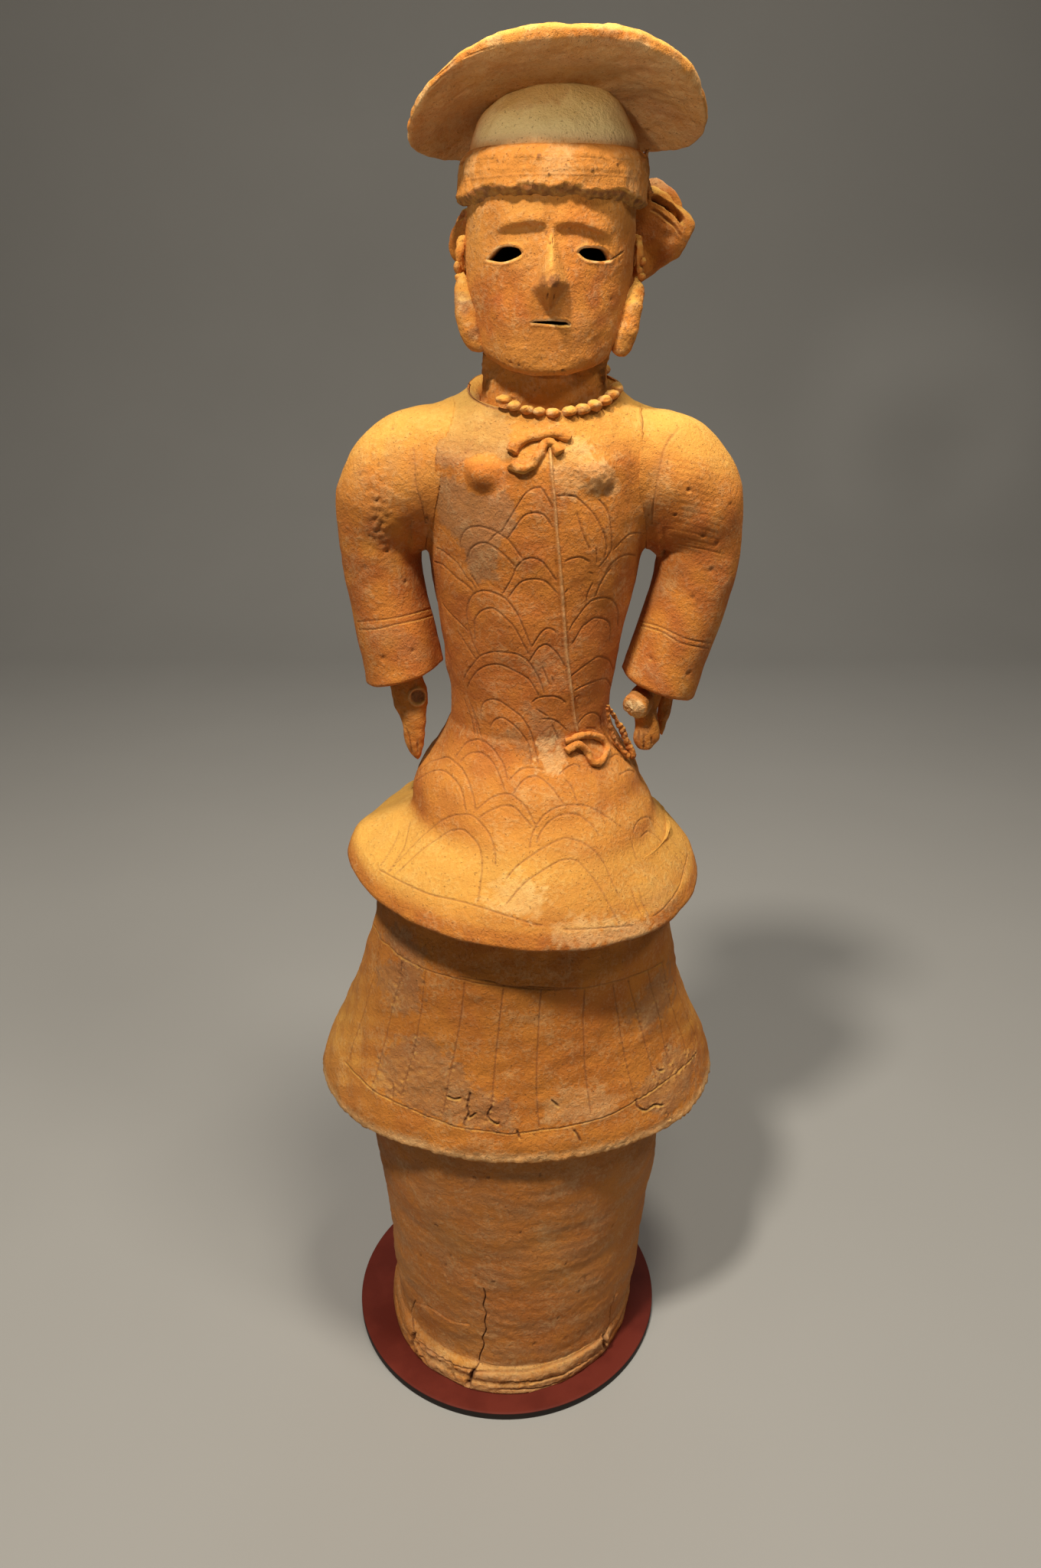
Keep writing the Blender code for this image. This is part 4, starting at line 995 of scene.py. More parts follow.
# %% Lines of the jacket
SCALES = [
    [(654, 697), (682, 651), (692, 641), (701, 637), (709, 640), (724, 666)],
    [(663, 704), (678, 682), (686, 673), (698, 670), (708, 672), (715, 678), (722, 689)],
    [(603, 721), (601, 709), (604, 699), (610, 691), (618, 688), (628, 688), (640, 691), (652, 697),
     (664, 705), (672, 715), (683, 731)],
    [(609, 735), (611, 726), (616, 716), (625, 710), (634, 709), (642, 712), (652, 719), (662, 728),
     (674, 742)], [(640, 707), (645, 700), (651, 696)],
    [(569, 716), (575, 718), (591, 731), (599, 739), (610, 756), (616, 761), (621, 771)],
    [(568, 734), (575, 736), (582, 741), (598, 756), (609, 764), (618, 774)], [(614, 751), (626, 769)],
    [(681, 734), (685, 731), (695, 729), (705, 732), (712, 738), (728, 760)],
    [(681, 734), (674, 742), (669, 755), (656, 777)],
    [(664, 781), (676, 765), (685, 759), (696, 757), (706, 758), (714, 761), (729, 776)],
    [(616, 838), (611, 815), (609, 802), (611, 790), (615, 780), (622, 774), (632, 772), (642, 774),
     (652, 778), (662, 784), (671, 795), (679, 808), (694, 844)],
    [(620, 839), (619, 815), (622, 805), (629, 798), (638, 795), (646, 796), (655, 802), (665, 811),
     (674, 822), (691, 855)], [(576, 787), (611, 825)], [(598, 826), (622, 862)], [(615, 836), (626, 858)],
    [(605, 889), (611, 876), (619, 866), (626, 858), (635, 854), (648, 852), (672, 854), (682, 858),
     (691, 865), (704, 886), (711, 906)],
    [(609, 900), (614, 889), (621, 879), (630, 872), (640, 869), (650, 869), (660, 872), (685, 884),
     (694, 892), (705, 910)], [(694, 846), (705, 829), (711, 823), (718, 821), (724, 824), (728, 828)],
    [(691, 865), (702, 848), (710, 843), (716, 843), (722, 848), (729, 855), (739, 871)],
    [(709, 872), (718, 895)], [(721, 884), (724, 894)],
    [(695, 918), (700, 913), (708, 910), (716, 909), (724, 909), (732, 912), (739, 918)],
    [(628, 941), (628, 929), (631, 919), (639, 914), (648, 914), (656, 918), (676, 932), (684, 940),
     (695, 961), (704, 999)],
    [(640, 951), (645, 942), (651, 938), (659, 938), (675, 950), (689, 969), (692, 980), (695, 999)],
    [(608, 904), (620, 941), (624, 962)], [(605, 912), (612, 931), (620, 960)],
    [(615, 922), (622, 941), (629, 965)],
    [(594, 990), (609, 971), (618, 967), (626, 966), (635, 970), (644, 978), (651, 988), (658, 999),
     (663, 1019)],
    [(599, 996), (608, 988), (615, 984), (625, 983), (634, 986), (642, 994), (649, 1005), (659, 1032)],
    [(544, 1016), (552, 1005), (562, 996), (574, 991), (584, 989), (592, 994), (601, 1002), (609, 1014),
     (618, 1040), (621, 1059)],
    [(545, 1022), (554, 1014), (564, 1008), (574, 1006), (582, 1008), (591, 1015), (599, 1025), (604, 1036),
     (609, 1061)],
    [(621, 1059), (638, 1044), (648, 1039), (658, 1037), (668, 1038), (676, 1044), (684, 1051), (691, 1061),
     (700, 1079)], [(624, 1070), (634, 1062), (646, 1056), (658, 1052), (668, 1053), (676, 1058), (696, 1081)],
    [(664, 1020), (679, 1006), (689, 1003), (701, 1003), (712, 1006)],
    [(670, 1038), (678, 1026), (686, 1018), (696, 1014), (706, 1016), (722, 1030), (739, 1054)],
    [(507, 1140), (532, 1112), (562, 1083), (578, 1071), (593, 1065), (605, 1064), (616, 1065), (627, 1074),
     (638, 1088), (644, 1101), (647, 1116), (647, 1130)],
    [(515, 1144), (547, 1114), (582, 1088), (595, 1084), (605, 1084), (616, 1093), (625, 1104), (629, 1120),
     (629, 1138), (624, 1178)], [(507, 1138), (520, 1120), (529, 1101), (536, 1072)],
    [(495, 1132), (506, 1116), (515, 1100), (521, 1084)],
    [(692, 1109), (694, 1094), (701, 1078), (712, 1064), (726, 1055), (740, 1052), (755, 1051), (770, 1054),
     (782, 1060), (795, 1068), (813, 1082)],
    [(701, 1101), (706, 1088), (717, 1074), (729, 1066), (741, 1063), (755, 1064), (767, 1072), (776, 1081),
     (784, 1094)],
    [(660, 1149), (669, 1138), (681, 1127), (712, 1106), (736, 1095), (747, 1096), (760, 1100), (773, 1109),
     (782, 1118), (790, 1129), (801, 1155), (811, 1173)],
    [(660, 1182), (680, 1159), (694, 1147), (724, 1128), (736, 1123), (749, 1123), (760, 1130), (782, 1158),
     (811, 1209)], [(826, 1089), (831, 1075), (841, 1068), (851, 1071), (874, 1094), (896, 1121)],
    [(836, 1094), (844, 1087), (853, 1090), (896, 1132)], [(823, 1090), (827, 1109), (833, 1124)],
    [(825, 1159), (830, 1178), (838, 1195)], [(834, 1159), (839, 1178), (848, 1199)],
    [(755, 946), (761, 938), (769, 932), (776, 931), (782, 934), (786, 941), (787, 952)],
    [(765, 951), (775, 951), (782, 954), (789, 959)],
    [(706, 939), (716, 939), (725, 941), (732, 946), (741, 955)], [(721, 946), (730, 966)],
    [(700, 926), (716, 936)], [(730, 1012), (738, 1005), (746, 1000), (754, 999), (760, 1006)],
    [(738, 1018), (744, 1024), (749, 1032), (754, 1048)], [(796, 990), (800, 988), (808, 986), (825, 1000)],
    [(809, 1012), (822, 1006), (830, 1009)],
    [(726, 648), (746, 648), (756, 652), (775, 671), (786, 692), (790, 704), (791, 716), (788, 728)],
    [(782, 652), (790, 661), (795, 672), (797, 685), (798, 710), (796, 721), (782, 740)],
    [(754, 669), (761, 696), (770, 718)], [(800, 718), (818, 700), (828, 696), (838, 696)],
    [(789, 752), (795, 740), (802, 732), (812, 726), (822, 724), (832, 726)],
    [(738, 734), (746, 730), (755, 728), (762, 729), (770, 734)], [(769, 747), (775, 750)],
    [(778, 715), (779, 735)],
    [(744, 825), (750, 814), (768, 791), (776, 784), (785, 781), (795, 781), (802, 786), (807, 795),
     (807, 820)],
    [(748, 842), (760, 822), (769, 814), (778, 808), (786, 808), (794, 811), (798, 819), (796, 839)],
    [(768, 788), (768, 778), (775, 761)], [(778, 780), (786, 758), (798, 740)], [(738, 776), (743, 770)],
    [(745, 884), (776, 860), (785, 858), (792, 860), (798, 865), (801, 875)],
    [(749, 902), (768, 893), (786, 887), (793, 888), (796, 894), (797, 899)],
    [(749, 918), (751, 911), (756, 908)],
    [(494, 1135), (529, 1154), (562, 1168), (605, 1178), (691, 1205), (710, 1209)],
    [(736, 1214), (760, 1214), (828, 1209)], [(851, 1198), (864, 1188), (884, 1164), (891, 1147), (899, 1114)],
]
RIDGE = [(717, 556), (719, 595), (721, 620), (724, 648), (728, 698), (733, 756), (736, 795), (740, 853), (743, 878),
         (746, 909), (750, 938), (754, 958)]
scale_paths = scratched(jacket, SCALES + [RIDGE])
ridge_path = scale_paths.pop()
print(len(scale_paths), "scratched lines,", len(jacket.vertices), "points")

# %% [markdown]
# Two small breasts were pressed on as clay knobs. The left one is whole, the right one is worn down
# to a scar. Between and below them smoke has left grey clouds, with hard edges where a sherd was
# fired in another place than its neighbour. The hem is pressed in at the back of the left side,
# because the photograph's outline is straighter there than the plain flare.

# %% Relief and marks of the jacket
CHEST_CLOUD = [(545, 520), (575, 508), (612, 503), (640, 520), (662, 545), (666, 562), (669, 585), (667, 597),
               (656, 601), (640, 592), (620, 594), (604, 604), (595, 611), (580, 610), (560, 600), (549, 572)]
BELLY_CLOUD = [(567, 625), (590, 624), (607, 634), (622, 645), (642, 647), (660, 641), (670, 655), (676, 670),
               (669, 692), (653, 715), (647, 735), (646, 756), (637, 761), (614, 756), (609, 732), (601, 712),
               (587, 695), (575, 680), (565, 652)]
SMALL_CLOUDS = [[(691, 856), (703, 860), (711, 880), (710, 900), (700, 892), (692, 874)],
                [(664, 950), (676, 955), (690, 975), (694, 1000), (680, 985), (668, 965)],
                [(687, 925), (712, 930), (736, 952), (734, 975), (712, 970), (690, 948)],
                [(834, 1150), (860, 1147), (883, 1160), (880, 1186), (850, 1193), (836, 1178)],
                [(654, 624), (663, 624), (664, 634), (655, 634)]]
BREAST_SCAR = [(744, 569), (760, 567), (767, 581), (775, 596), (792, 606), (804, 622), (810, 640), (804, 645),
               (780, 641), (767, 631), (757, 641), (750, 652), (730, 647), (724, 630), (724, 612), (732, 601),
               (735, 586)]
PALE = [[(700, 965), (725, 965), (737, 985), (735, 1008), (712, 1012), (700, 990)],
        [(634, 1163), (648, 1150), (680, 1140), (712, 1170), (705, 1195), (690, 1200), (665, 1195), (640, 1185),
         (632, 1175)],
        [(720, 1208), (740, 1200), (810, 1200), (845, 1198), (850, 1215), (840, 1228), (800, 1238), (760, 1243),
         (722, 1240)]]
BREASTS_AND_SCAR = [(630, 619), (781, 618), (795, 641)]
RIDGE_HALF, RIDGE_PROUD = 0.0019, 0.0024
PRESSED_IN = 0.12
breast_left, breast_right, scar = spots(jacket, BREASTS_AND_SCAR)
co = places(jacket)
near_breast = (knob(co, breast_left, 0.019, 1.0) > 0.0) | (knob(co, breast_right, 0.022, 1.0) > 0.0)
refine(jacket, near_breast, 1)
co, normal = surface(jacket)
cut, line = engrave(co, scale_paths, 0.0009, 0.0009)
d, end = from_line(co, ridge_path, 0.006)
ridge_ends = ramp(end, -0.001, 0.004)
ridge = RIDGE_PROUD * held(1.0 - (d / RIDGE_HALF) ** 2) ** 1.5 * ridge_ends
relief = cut + ridge + 0.0006 * waves(co, 0.06, 11) + 0.00015 * waves(co, 0.022, 12)
relief += 0.00006 * waves(co, 0.008, 13) + knob(co, breast_left, 0.0175, 0.0088, 2.0)
worn = knob(co, breast_right, 0.0200, 0.0058, 2.0)
relief += worn * (1.0 + 0.03 * waves(co, 0.006, 14)) - knob(co, scar, 0.0060, 0.0018, 1.0)
grey = np.maximum(patch(co, normal, CHEST_CLOUD, 2.5, 2.0, 21), patch(co, normal, BELLY_CLOUD, 2.0, 2.0, 22))
grey *= 0.82 - 0.6 * (knob(co, breast_left, 0.0175, 1.0, 0.5) > 0.05)
grey = np.maximum(grey, 0.55 * patches(co, normal, SMALL_CLOUDS, 5.0, 4.0, 30))
cream = np.maximum(0.38 * patch(co, normal, BREAST_SCAR, 3.0, 3.0, 41),
                   0.5 * patches(co, normal, PALE, 6.0, 5.0, 45))
relief += cream * (0.00022 * waves(co, 0.005, 51) + 0.00012 * waves(co, 0.0025, 52) - 0.0001)
angle = np.arctan2(co[:, 1], -co[:, 0])
pressed = ramp(angle, -0.25, 0.35) * (1.0 - ramp(angle, 0.9, 1.6)) * (1.0 - ramp(co[:, 2], 0.635, 0.700))
# Dust and painted top light on upward faces, weaker from the hem's top up to the chest.
dust = facing_up(normal) * (1.0 - 0.7 * ramp(co[:, 2], 0.63, 0.72) * (1.0 - ramp(co[:, 2], 0.85, 0.95)))
co = co + normal * relief[:, None]
co[:, :2] *= 1.0 - PRESSED_IN * pressed[:, None]
put(jacket, co)
dark = 0.45 * knob(co, scar, 0.0065, 1.0)
# A painted highlight along the ridge.
cream = np.maximum(cream, 0.45 * held(1.0 - (d / 0.0018) ** 2) * ridge_ends)
# The band of red round the waist is painted shade under the chest.
waist = np.exp(-((co[:, 2] - 0.79) / 0.075) ** 2)
finished(jacket, line=line, grey=grey, cream=cream, dark=dark, dust=dust,
         red=held(0.20 * (1.0 - ramp(co[:, 2], 0.90, 1.0)) + 0.62 * waist + 0.5 * ramp(waves(co, 0.05, 61), 0.2, 1.6)
                  + 0.1 * waves(co, 0.015, 62)))

# %% [markdown]
# A sleeve is a bent tube, wide at the shoulder, hollow from its slanted cuff up past the elbow.

# %% The sleeves
def frames(path, slant=None):
    """The way along each ring of an upright path and the way across it, turned to the cuff's slant at the end."""
    way = np.gradient(path[:, :3], axis=0)
    way /= np.linalg.norm(way, axis=1)[:, None]
    angle = np.unwrap(np.arctan2(-way[:, 0], way[:, 2]))
    if slant is not None:
        left = np.linalg.norm(path[:, :3] - path[-1, :3], axis=1)
        angle = angle + (slant - angle[-1]) * (1.0 - ramp(left, 0.0, 0.060))
    return way, np.stack([np.cos(angle), np.zeros(len(path)), np.sin(angle)], -1)


def tube_rings(path, across, angle):
    """Rings of a tube: centre + r * (cos a * across + sin a * deep)."""
    deep = np.array([0.0, 1.0, 0.0])
    spoke = np.cos(angle)[None, :, None] * across[:, None, :] + np.sin(angle)[None, :, None] * deep
    return path[:, None, :3] + path[:, 3, None, None] * spoke


def sleeve(side, name):
    angle = np.linspace(0.0, 2.0 * math.pi, 150, endpoint=False)
    path = sleeve_path(side, 170)
    x, height, radius, slant = CUFFS[side]
    way, across = frames(path, -side * (math.pi + slant))
    outer = tube_rings(path, across, angle)
    outer = pulled(outer, body_depth)
    t = np.linspace(0.0, math.pi, 9)[1:-1]
    rim = np.repeat(path[-1:], len(t), 0)
    rim[:, :3] += way[-1] * (SLEEVE_WALL / 2.0 * 0.7 * np.sin(t))[:, None]
    rim[:, 3] += SLEEVE_WALL / 2.0 * (np.cos(t) - 1.0)
    inner = path[path[:, 2] < 0.866][::-3].copy()
    inner[:, 3] -= SLEEVE_WALL
    inner_across = across[path[:, 2] < 0.866][::-3]
    top = inner[-1:].copy()
    top[:, 3] *= 0.5
    top[:, 2] += 0.012
    grid = np.concatenate([outer, tube_rings(rim, np.repeat(across[-1:], len(t), 0), angle),
                           tube_rings(inner, inner_across, angle), tube_rings(top, inner_across[-1:], angle)])
    return skin(name, leaning(grid), loop=False)


# %% [markdown]
# Two pairs of lines go round each forearm, a seam follows each shoulder, and a comb or a cloth was
# drawn down the right upper arm. The clay has flaked on the left one.

# %% Lines and wear of the sleeves
SLEEVE_LINES = {
    -1: [[(465.7, 812.5), (506.5, 808.7), (532, 803.6), (562.7, 794.6)],
         [(468.3, 822.7), (493.8, 821.4), (519.3, 815.1), (544.8, 809.9), (565.2, 803.6)],
         [(539.7, 584.2), (541.7, 602), (542.2, 625), (546.1, 642.9), (552.4, 663.3), (556.3, 683.7)]],
    1: [[(835.2, 811), (864.5, 819.8), (896.8, 834.4), (932, 840.3)],
        [(836.7, 816.8), (864.5, 825.6), (890.9, 840.3), (929.1, 847.6)],
        [(888, 558.7), (870.4, 582.1), (861.6, 614.4), (855.7, 646.7), (852.8, 667.2), (851.3, 687.8)]]}
COMB = [[(868 + 4 * k % 13, 600 + 9 * k), (905, 606 + 9 * k), (946 - 3 * k % 7, 616 + 9 * k)] for k in range(13)]
SLEEVE_PITS = {
    -1: [(557.6, 676), (572.9, 681.1), (490, 655), (498, 682), (484, 700), (505, 720), (476, 742), (530, 760),
         (512, 560), (470, 620), (540, 850), (500, 860)],
    1: [(882.1, 673), (918.8, 699.5), (936.4, 709.7), (954, 658.4), (900, 640), (930, 745), (868, 720), (905, 780),
        (948, 600), (915, 560), (850, 860), (900, 880)]}
FLAKED_PLACE, FLAKED_SIZE = (494, 672), (16, 36)
for side, name in ((-1, "left_sleeve"), (1, "right_sleeve")):
    data = sleeve(side, name)
    paths = scratched(data, SLEEVE_LINES[side] + (COMB if side > 0 else []), 0.0014, 1)
    lines, combed = paths[:3], paths[3:]
    pits = spots(data, SLEEVE_PITS[side])
    co, normal = surface(data)
    cut, line = engrave(co, lines, 0.0009, 0.0008, 0.12)
    comb = engrave(co, combed, 0.0010, 0.0003, 0.8)[0]
    calm = ramp(from_line(co, lines[0], 0.09)[0], 0.0, 0.05)
    relief = cut + comb + (0.0005 * waves(co, 0.06, 201 + side) + 0.00012 * waves(co, 0.016, 203 + side)) * calm
    flaked = np.exp(-(((seen(co) - FLAKED_PLACE) / FLAKED_SIZE) ** 2).sum(axis=1)) * (side < 0)
    relief += flaked * 0.0006 * waves(co, 0.005, 206)
    hole, dark = pitted(co, pits, three_sizes(len(pits), 0.0020, 0.0006), 0.0013, 0.0018, 0.4, 0.5)
    push(data, co, normal, relief + hole)
    seam = from_line(co, lines[2], 0.02)[0]
    # Yellower towards the shoulder and redder below it: painted top light and painted shade.
    shoulder = ramp(co[:, 2], 0.905, 0.965)
    finished(data, line=0.6 * line, dark=dark, ochre=held(0.5 * shoulder + 0.2 * waves(co, 0.03, 207)),
             red=held(0.70 * (1.0 - shoulder) * (0.8 + 0.4 * waves(co, 0.03, 208))),
             grey=held(0.35 * flaked + 0.35 * ramp(waves(co, 0.045, 209), 0.8, 1.8)
                       + 0.25 * np.exp(-(seam / 0.006) ** 2)))
# %% [markdown]
# The neck is a plain short tube. Its rings stay rough, because a necklace and the chin hide most of it.

# %% Neck
turn = around(120, 0.3)
heights = np.linspace(0.975, 1.062, 40)
neck_rows = np.column_stack([heights, smooth(NECK, heights)])
neck = skin("neck", leaning(np.concatenate([oval(neck_rows, turn), grown(oval(neck_rows, turn), -0.012)[::-1]])))
co, normal = surface(neck)
push(neck, co, normal, 0.0007 * waves(co, 0.03, 61) + 0.0004 * waves(co * [1, 1, 3], 0.012, 62))
finished(neck, ochre=0.4 + 0.3 * waves(co, 0.04, 63), cream=0.2 * ramp(waves(co, 0.03, 64), 0.3, 1.6))

# %% [markdown]
# The eyes and the mouth were cut through the soft wall with a blade. The mesh is cut the same way:
# faces inside an outline go, the corners round the hole move onto the outline, and a second skin a
# wall's thickness behind, joined to the first round every hole, gives the wall its true thickness.

# %% Cutting through a wall
def to_outlines(co, outlines):
    """For points on the front, the largest signed distance over all outlines, and the nearest place."""
    distance, near = np.full(len(co), -1.0), np.zeros((len(co), 2))
    front = np.flatnonzero(co[:, 1] < -0.03)
    for outline in outlines:
        d, place = outline_distance(co[front][:, [0, 2]], outline)
        more = d > distance[front]
        distance[front[more]], near[front[more]] = d[more], place[more]
    return distance, near


def opened(name, data, outlines, thick):
    """The shell with the outlines cut through it and an inner skin: (mesh, number of outer corners, distances)."""
    tree = tree_of(data)
    co, normal = surface(data)
    faces = [tuple(p.vertices) for p in data.polygons]
    middle = np.array([co[list(face)].mean(axis=0) for face in faces])
    keep = to_outlines(middle, outlines)[0] < 0.0
    faces = [face for face, kept in zip(faces, keep) if kept]
    ways = {(a, b) for face in faces for a, b in zip(face, face[1:] + face[:1])}
    rim = [(a, b) for a, b in ways if (b, a) not in ways]
    distance, near = to_outlines(co, outlines)
    edge = np.unique([a for a, b in rim])
    co[edge[:, None], [0, 2]] = near[edge]
    for i in edge.tolist():
        hit = tree.ray_cast(Vector((co[i, 0], -1.0, co[i, 2])), Vector((0.0, 1.0, 0.0)))[0]
        co[i, 1] = hit.y
    distance[edge] = 0.0
    used = np.unique([i for face in faces for i in face])
    new = np.full(len(co), -1)
    new[used] = np.arange(len(used))
    n = len(used)
    faces = [tuple(new[list(face)].tolist()) for face in faces]
    rim = [(int(new[a]), int(new[b])) for a, b in rim]
    faces += [tuple(i + n for i in reversed(face)) for face in faces] + [(b, a, a + n, b + n) for a, b in rim]
    co, normal = co[used], normal[used]
    return mesh_of(name, np.vstack([co, co - normal * thick(co)[:, None]]), faces), n, distance[used]


print("blade ready")

# %% [markdown]
# The head is a tube with a flat face, closed by a dome. The rings of the dome shrink as the cosine
# of its rise, so the crown is round.

# %% Head with its eyes and mouth cut out
EYE_LINES = [[(636.9, 339.2), (646, 341.4), (657.3, 342.2), (670, 338.5), (681.2, 332), (679.5, 327),
              (675.7, 323.9), (663.5, 321.8), (651.2, 323.9), (642, 333.1)],
             [(755.7, 330), (765.5, 338.2), (781.8, 341.2), (796.1, 340.2), (797.1, 337.1), (790, 326.9),
              (779.8, 323.9), (765.5, 323.9), (759.4, 325.9)]]
MOUTH_LINE = [(694.5, 421.8), (698.2, 419.8), (720.6, 419.2), (740, 420.8), (743.5, 423.9), (732.9, 424.9),
              (712.4, 423.3)]
CROWN = (1.183, 0.0555)
HEAD_POWER = 2.25
HAIR = dict(half=0.1128, front=-0.1034, back=0.0785, thick=0.0200, top=1.2493, fall=1.80, droop=22.3, roll=0.0164,
            middle=0.0023)


def hair_height(x, y):
    """The slab sinks backwards as a square, and its sides droop as a cube."""
    return (HAIR["top"] - HAIR["fall"] * (y - HAIR["front"]) ** 2 - HAIR["droop"] * np.abs(x - HAIR["middle"]) ** 3
            + HAIR["roll"] * x)


turn = around(196)
face = oval(flow(HEAD, 96), turn, HEAD_POWER)
rise = np.linspace(0.0, 1.0, 26)[1:-1]
heights = CROWN[0] + CROWN[1] * np.sin(rise * math.pi / 2)
half = 0.066 * np.cos(rise * math.pi / 2)
crown = oval(np.column_stack([heights, half, half, half * 0.97]), turn, 2.1)
crown[..., 2] = np.minimum(crown[..., 2], hair_height(crown[..., 0], crown[..., 1]) - 0.001)
shell = skin("head_shell", leaning(np.concatenate([face, crown])), loop=False)
tree = tree_of(shell)
outlines = [on_clay(tree, line + line[:1], 2.0, smooth_curve=k < 2)[:-1][:, [0, 2]]
            for k, line in enumerate(EYE_LINES + [MOUTH_LINE])]
refine(shell, to_outlines(places(shell), outlines)[0] > -0.0030, 3)


def head_wall(points):
    """Thin at the chin and where the blade went through, a full wall elsewhere."""
    off = -to_outlines(points, outlines)[0]
    return (0.012 * ramp(points[:, 2], 1.043, 1.075) + 0.003) * (0.33 + 0.67 * ramp(off, 0.001, 0.012))


head, outer, gap = opened("head", shell, outlines, head_wall)
gap = np.concatenate([-gap, np.full(outer, 1.0)])
cut_corners = 2 * outer
print("head", outer, "outer corners")

# %% [markdown]
# The nose is a pinched ridge. Its height over the face is the lower of two tent roofs, one that
# rises slowly from the brow and one that falls steeply to the lip, with rounded edges. A brow is a
# ledge that fades slowly upwards and quickly downwards.

# %% Nose, brows and the marks of age
BROW_LINES = [[(645, 303), (652, 297.5), (663.8, 293.4), (686, 289.2), (700, 288.6), (711, 290.5)],
              [(727, 292.5), (741.5, 290.7), (760, 292.5), (778.4, 299), (793.2, 306.4), (799, 311)]]
NOSTRILS = [[(715.4, 383.5), (713.8, 390.5)], [(724.7, 384.5), (724.1, 390.5)]]
FACE_LINES = [[(797.1, 339.8), (806.3, 334.5), (815.5, 328)], [(722, 310), (722.5, 319)]]
FACE_PITS = [(718.2, 317.8), (631.8, 349.4), (688, 356.5), (677.8, 476.9), (704.3, 268.5), (645, 281), (619, 294.5),
             (743, 351), (748, 326), (660, 436), (820.5, 305), (712.5, 304.5), (619.5, 358), (799, 391), (667, 474),
             (735, 484), (809.5, 341)]
CROWN_REPAIR = [(643, 144), (655, 136), (667, 125), (694, 104), (716, 98), (745, 112), (738, 128), (718, 137),
                (680, 145), (660, 144)]
co, normal = surface(head)
here = np.arange(len(co)) < outer
x, h = upright(co)
front = here & (co[:, 1] < -0.02)
side = np.sqrt((x + 0.001) ** 2 + 0.0035 ** 2)
wide = 1.0 + 0.10 * np.sign(x + 0.001)
roof = 0.72 * (1.1375 - h) + 0.003 - 2.3 * side / wide
kite = 1.18 * (h - 1.0748) - 1.55 * np.abs(x + 0.001)
nose = soft_union(roof, kite, 0.0010)
rough = 0.0005 * waves(co, 0.0045, 71) + 0.0003 * waves(co, 0.002, 72)
chip = ramp(h, 1.0925, 1.0940) * (1.0 - ramp(h, 1.103, 1.107))
worn = 0.0208 - 0.36 * (h - 1.0952) + rough * 1.2
nose = np.where(chip > 0.5, soft_union(nose, worn, 0.0006), nose)
nose = -soft_union(-nose, np.zeros_like(nose), 0.0012)
moved = co.copy()
moved[:, 1] -= nose * front
brow = np.zeros(len(co))
for line in BROW_LINES:
    path = on_clay(tree, line)
    dh = co[:, 2] - np.interp(co[:, 0], path[:, 0], path[:, 2])
    inner, outer_end = (path[-1, 0], path[0, 0]) if path[0, 0] < 0.03 else (path[0, 0], path[-1, 0])
    t = (co[:, 0] - inner) / (outer_end - inner)
    ends = ramp(t, -0.12, 0.10) * (1.0 - ramp(t, 0.72, 1.08))
    ledge = np.where(dh > 0.0, 1.0 - ramp(dh, 0.0, 0.016), 1.0 - ramp(-dh, 0.0, 0.0030))
    hollow = ramp(-dh, 0.0010, 0.0035) * (1.0 - ramp(-dh, 0.0060, 0.0170))
    brow += (0.0032 * ledge - 0.0022 * hollow) * ends
moved[:, 1] -= brow * front * (1.0 - ramp(nose, 0.001, 0.006))
skin_waves = 0.0005 * waves(co, 0.035, 73) + 0.00010 * waves(co, 0.012, 74) + 0.00006 * waves(co, 0.004, 75)
moved += normal * (skin_waves * here * held(gap / 0.002))[:, None]
moved[:, 1] += (0.0005 * np.exp(-(gap / 0.0007) ** 2) - 0.0004 * np.exp(-((gap - 0.0018) / 0.0010) ** 2)) * front
put(head, moved)
paths = scratched(head, NOSTRILS + FACE_LINES, 0.0016, 3)
pits = spots(head, FACE_PITS)
co, normal = surface(head)
# The nostril slots are painted black as their shade.
slot, black = engrave(co, paths[:2], 0.0009, 0.0030, 0.0)
crack, dark = engrave(co, paths[2:], 0.0009, 0.0011, 0.1)
hole, pit_shade = pitted(co, pits, three_sizes(len(pits), 0.0012, 0.0003), 0.0010, 0.0011, 0.35, 0.8)
push(head, co, normal, slot + crack + hole)
gap = -to_outlines(co, outlines)[0]
lip = np.exp(-((gap - 0.0005) / 0.0009) ** 2) * faces_camera(co, normal) * (co[:, 1] < -0.03)
# The inner skin is painted nearly black as the shade inside the hollow head.
inner_skin = (np.arange(len(co)) >= outer) & (np.arange(len(co)) < cut_corners)
x, h = upright(co)
cheeks = np.exp(-(((np.abs(x) - 0.038) / 0.026) ** 2 + ((h - 1.085) / 0.030) ** 2)) * (co[:, 1] < 0.0)
chipped = ramp(h, 1.0925, 1.0940) * (1.0 - ramp(h, 1.1000, 1.1045)) * (co[:, 1] < -0.080)
chipped *= 1.0 - ramp(np.abs(x + 0.001), 0.0060, 0.0090)
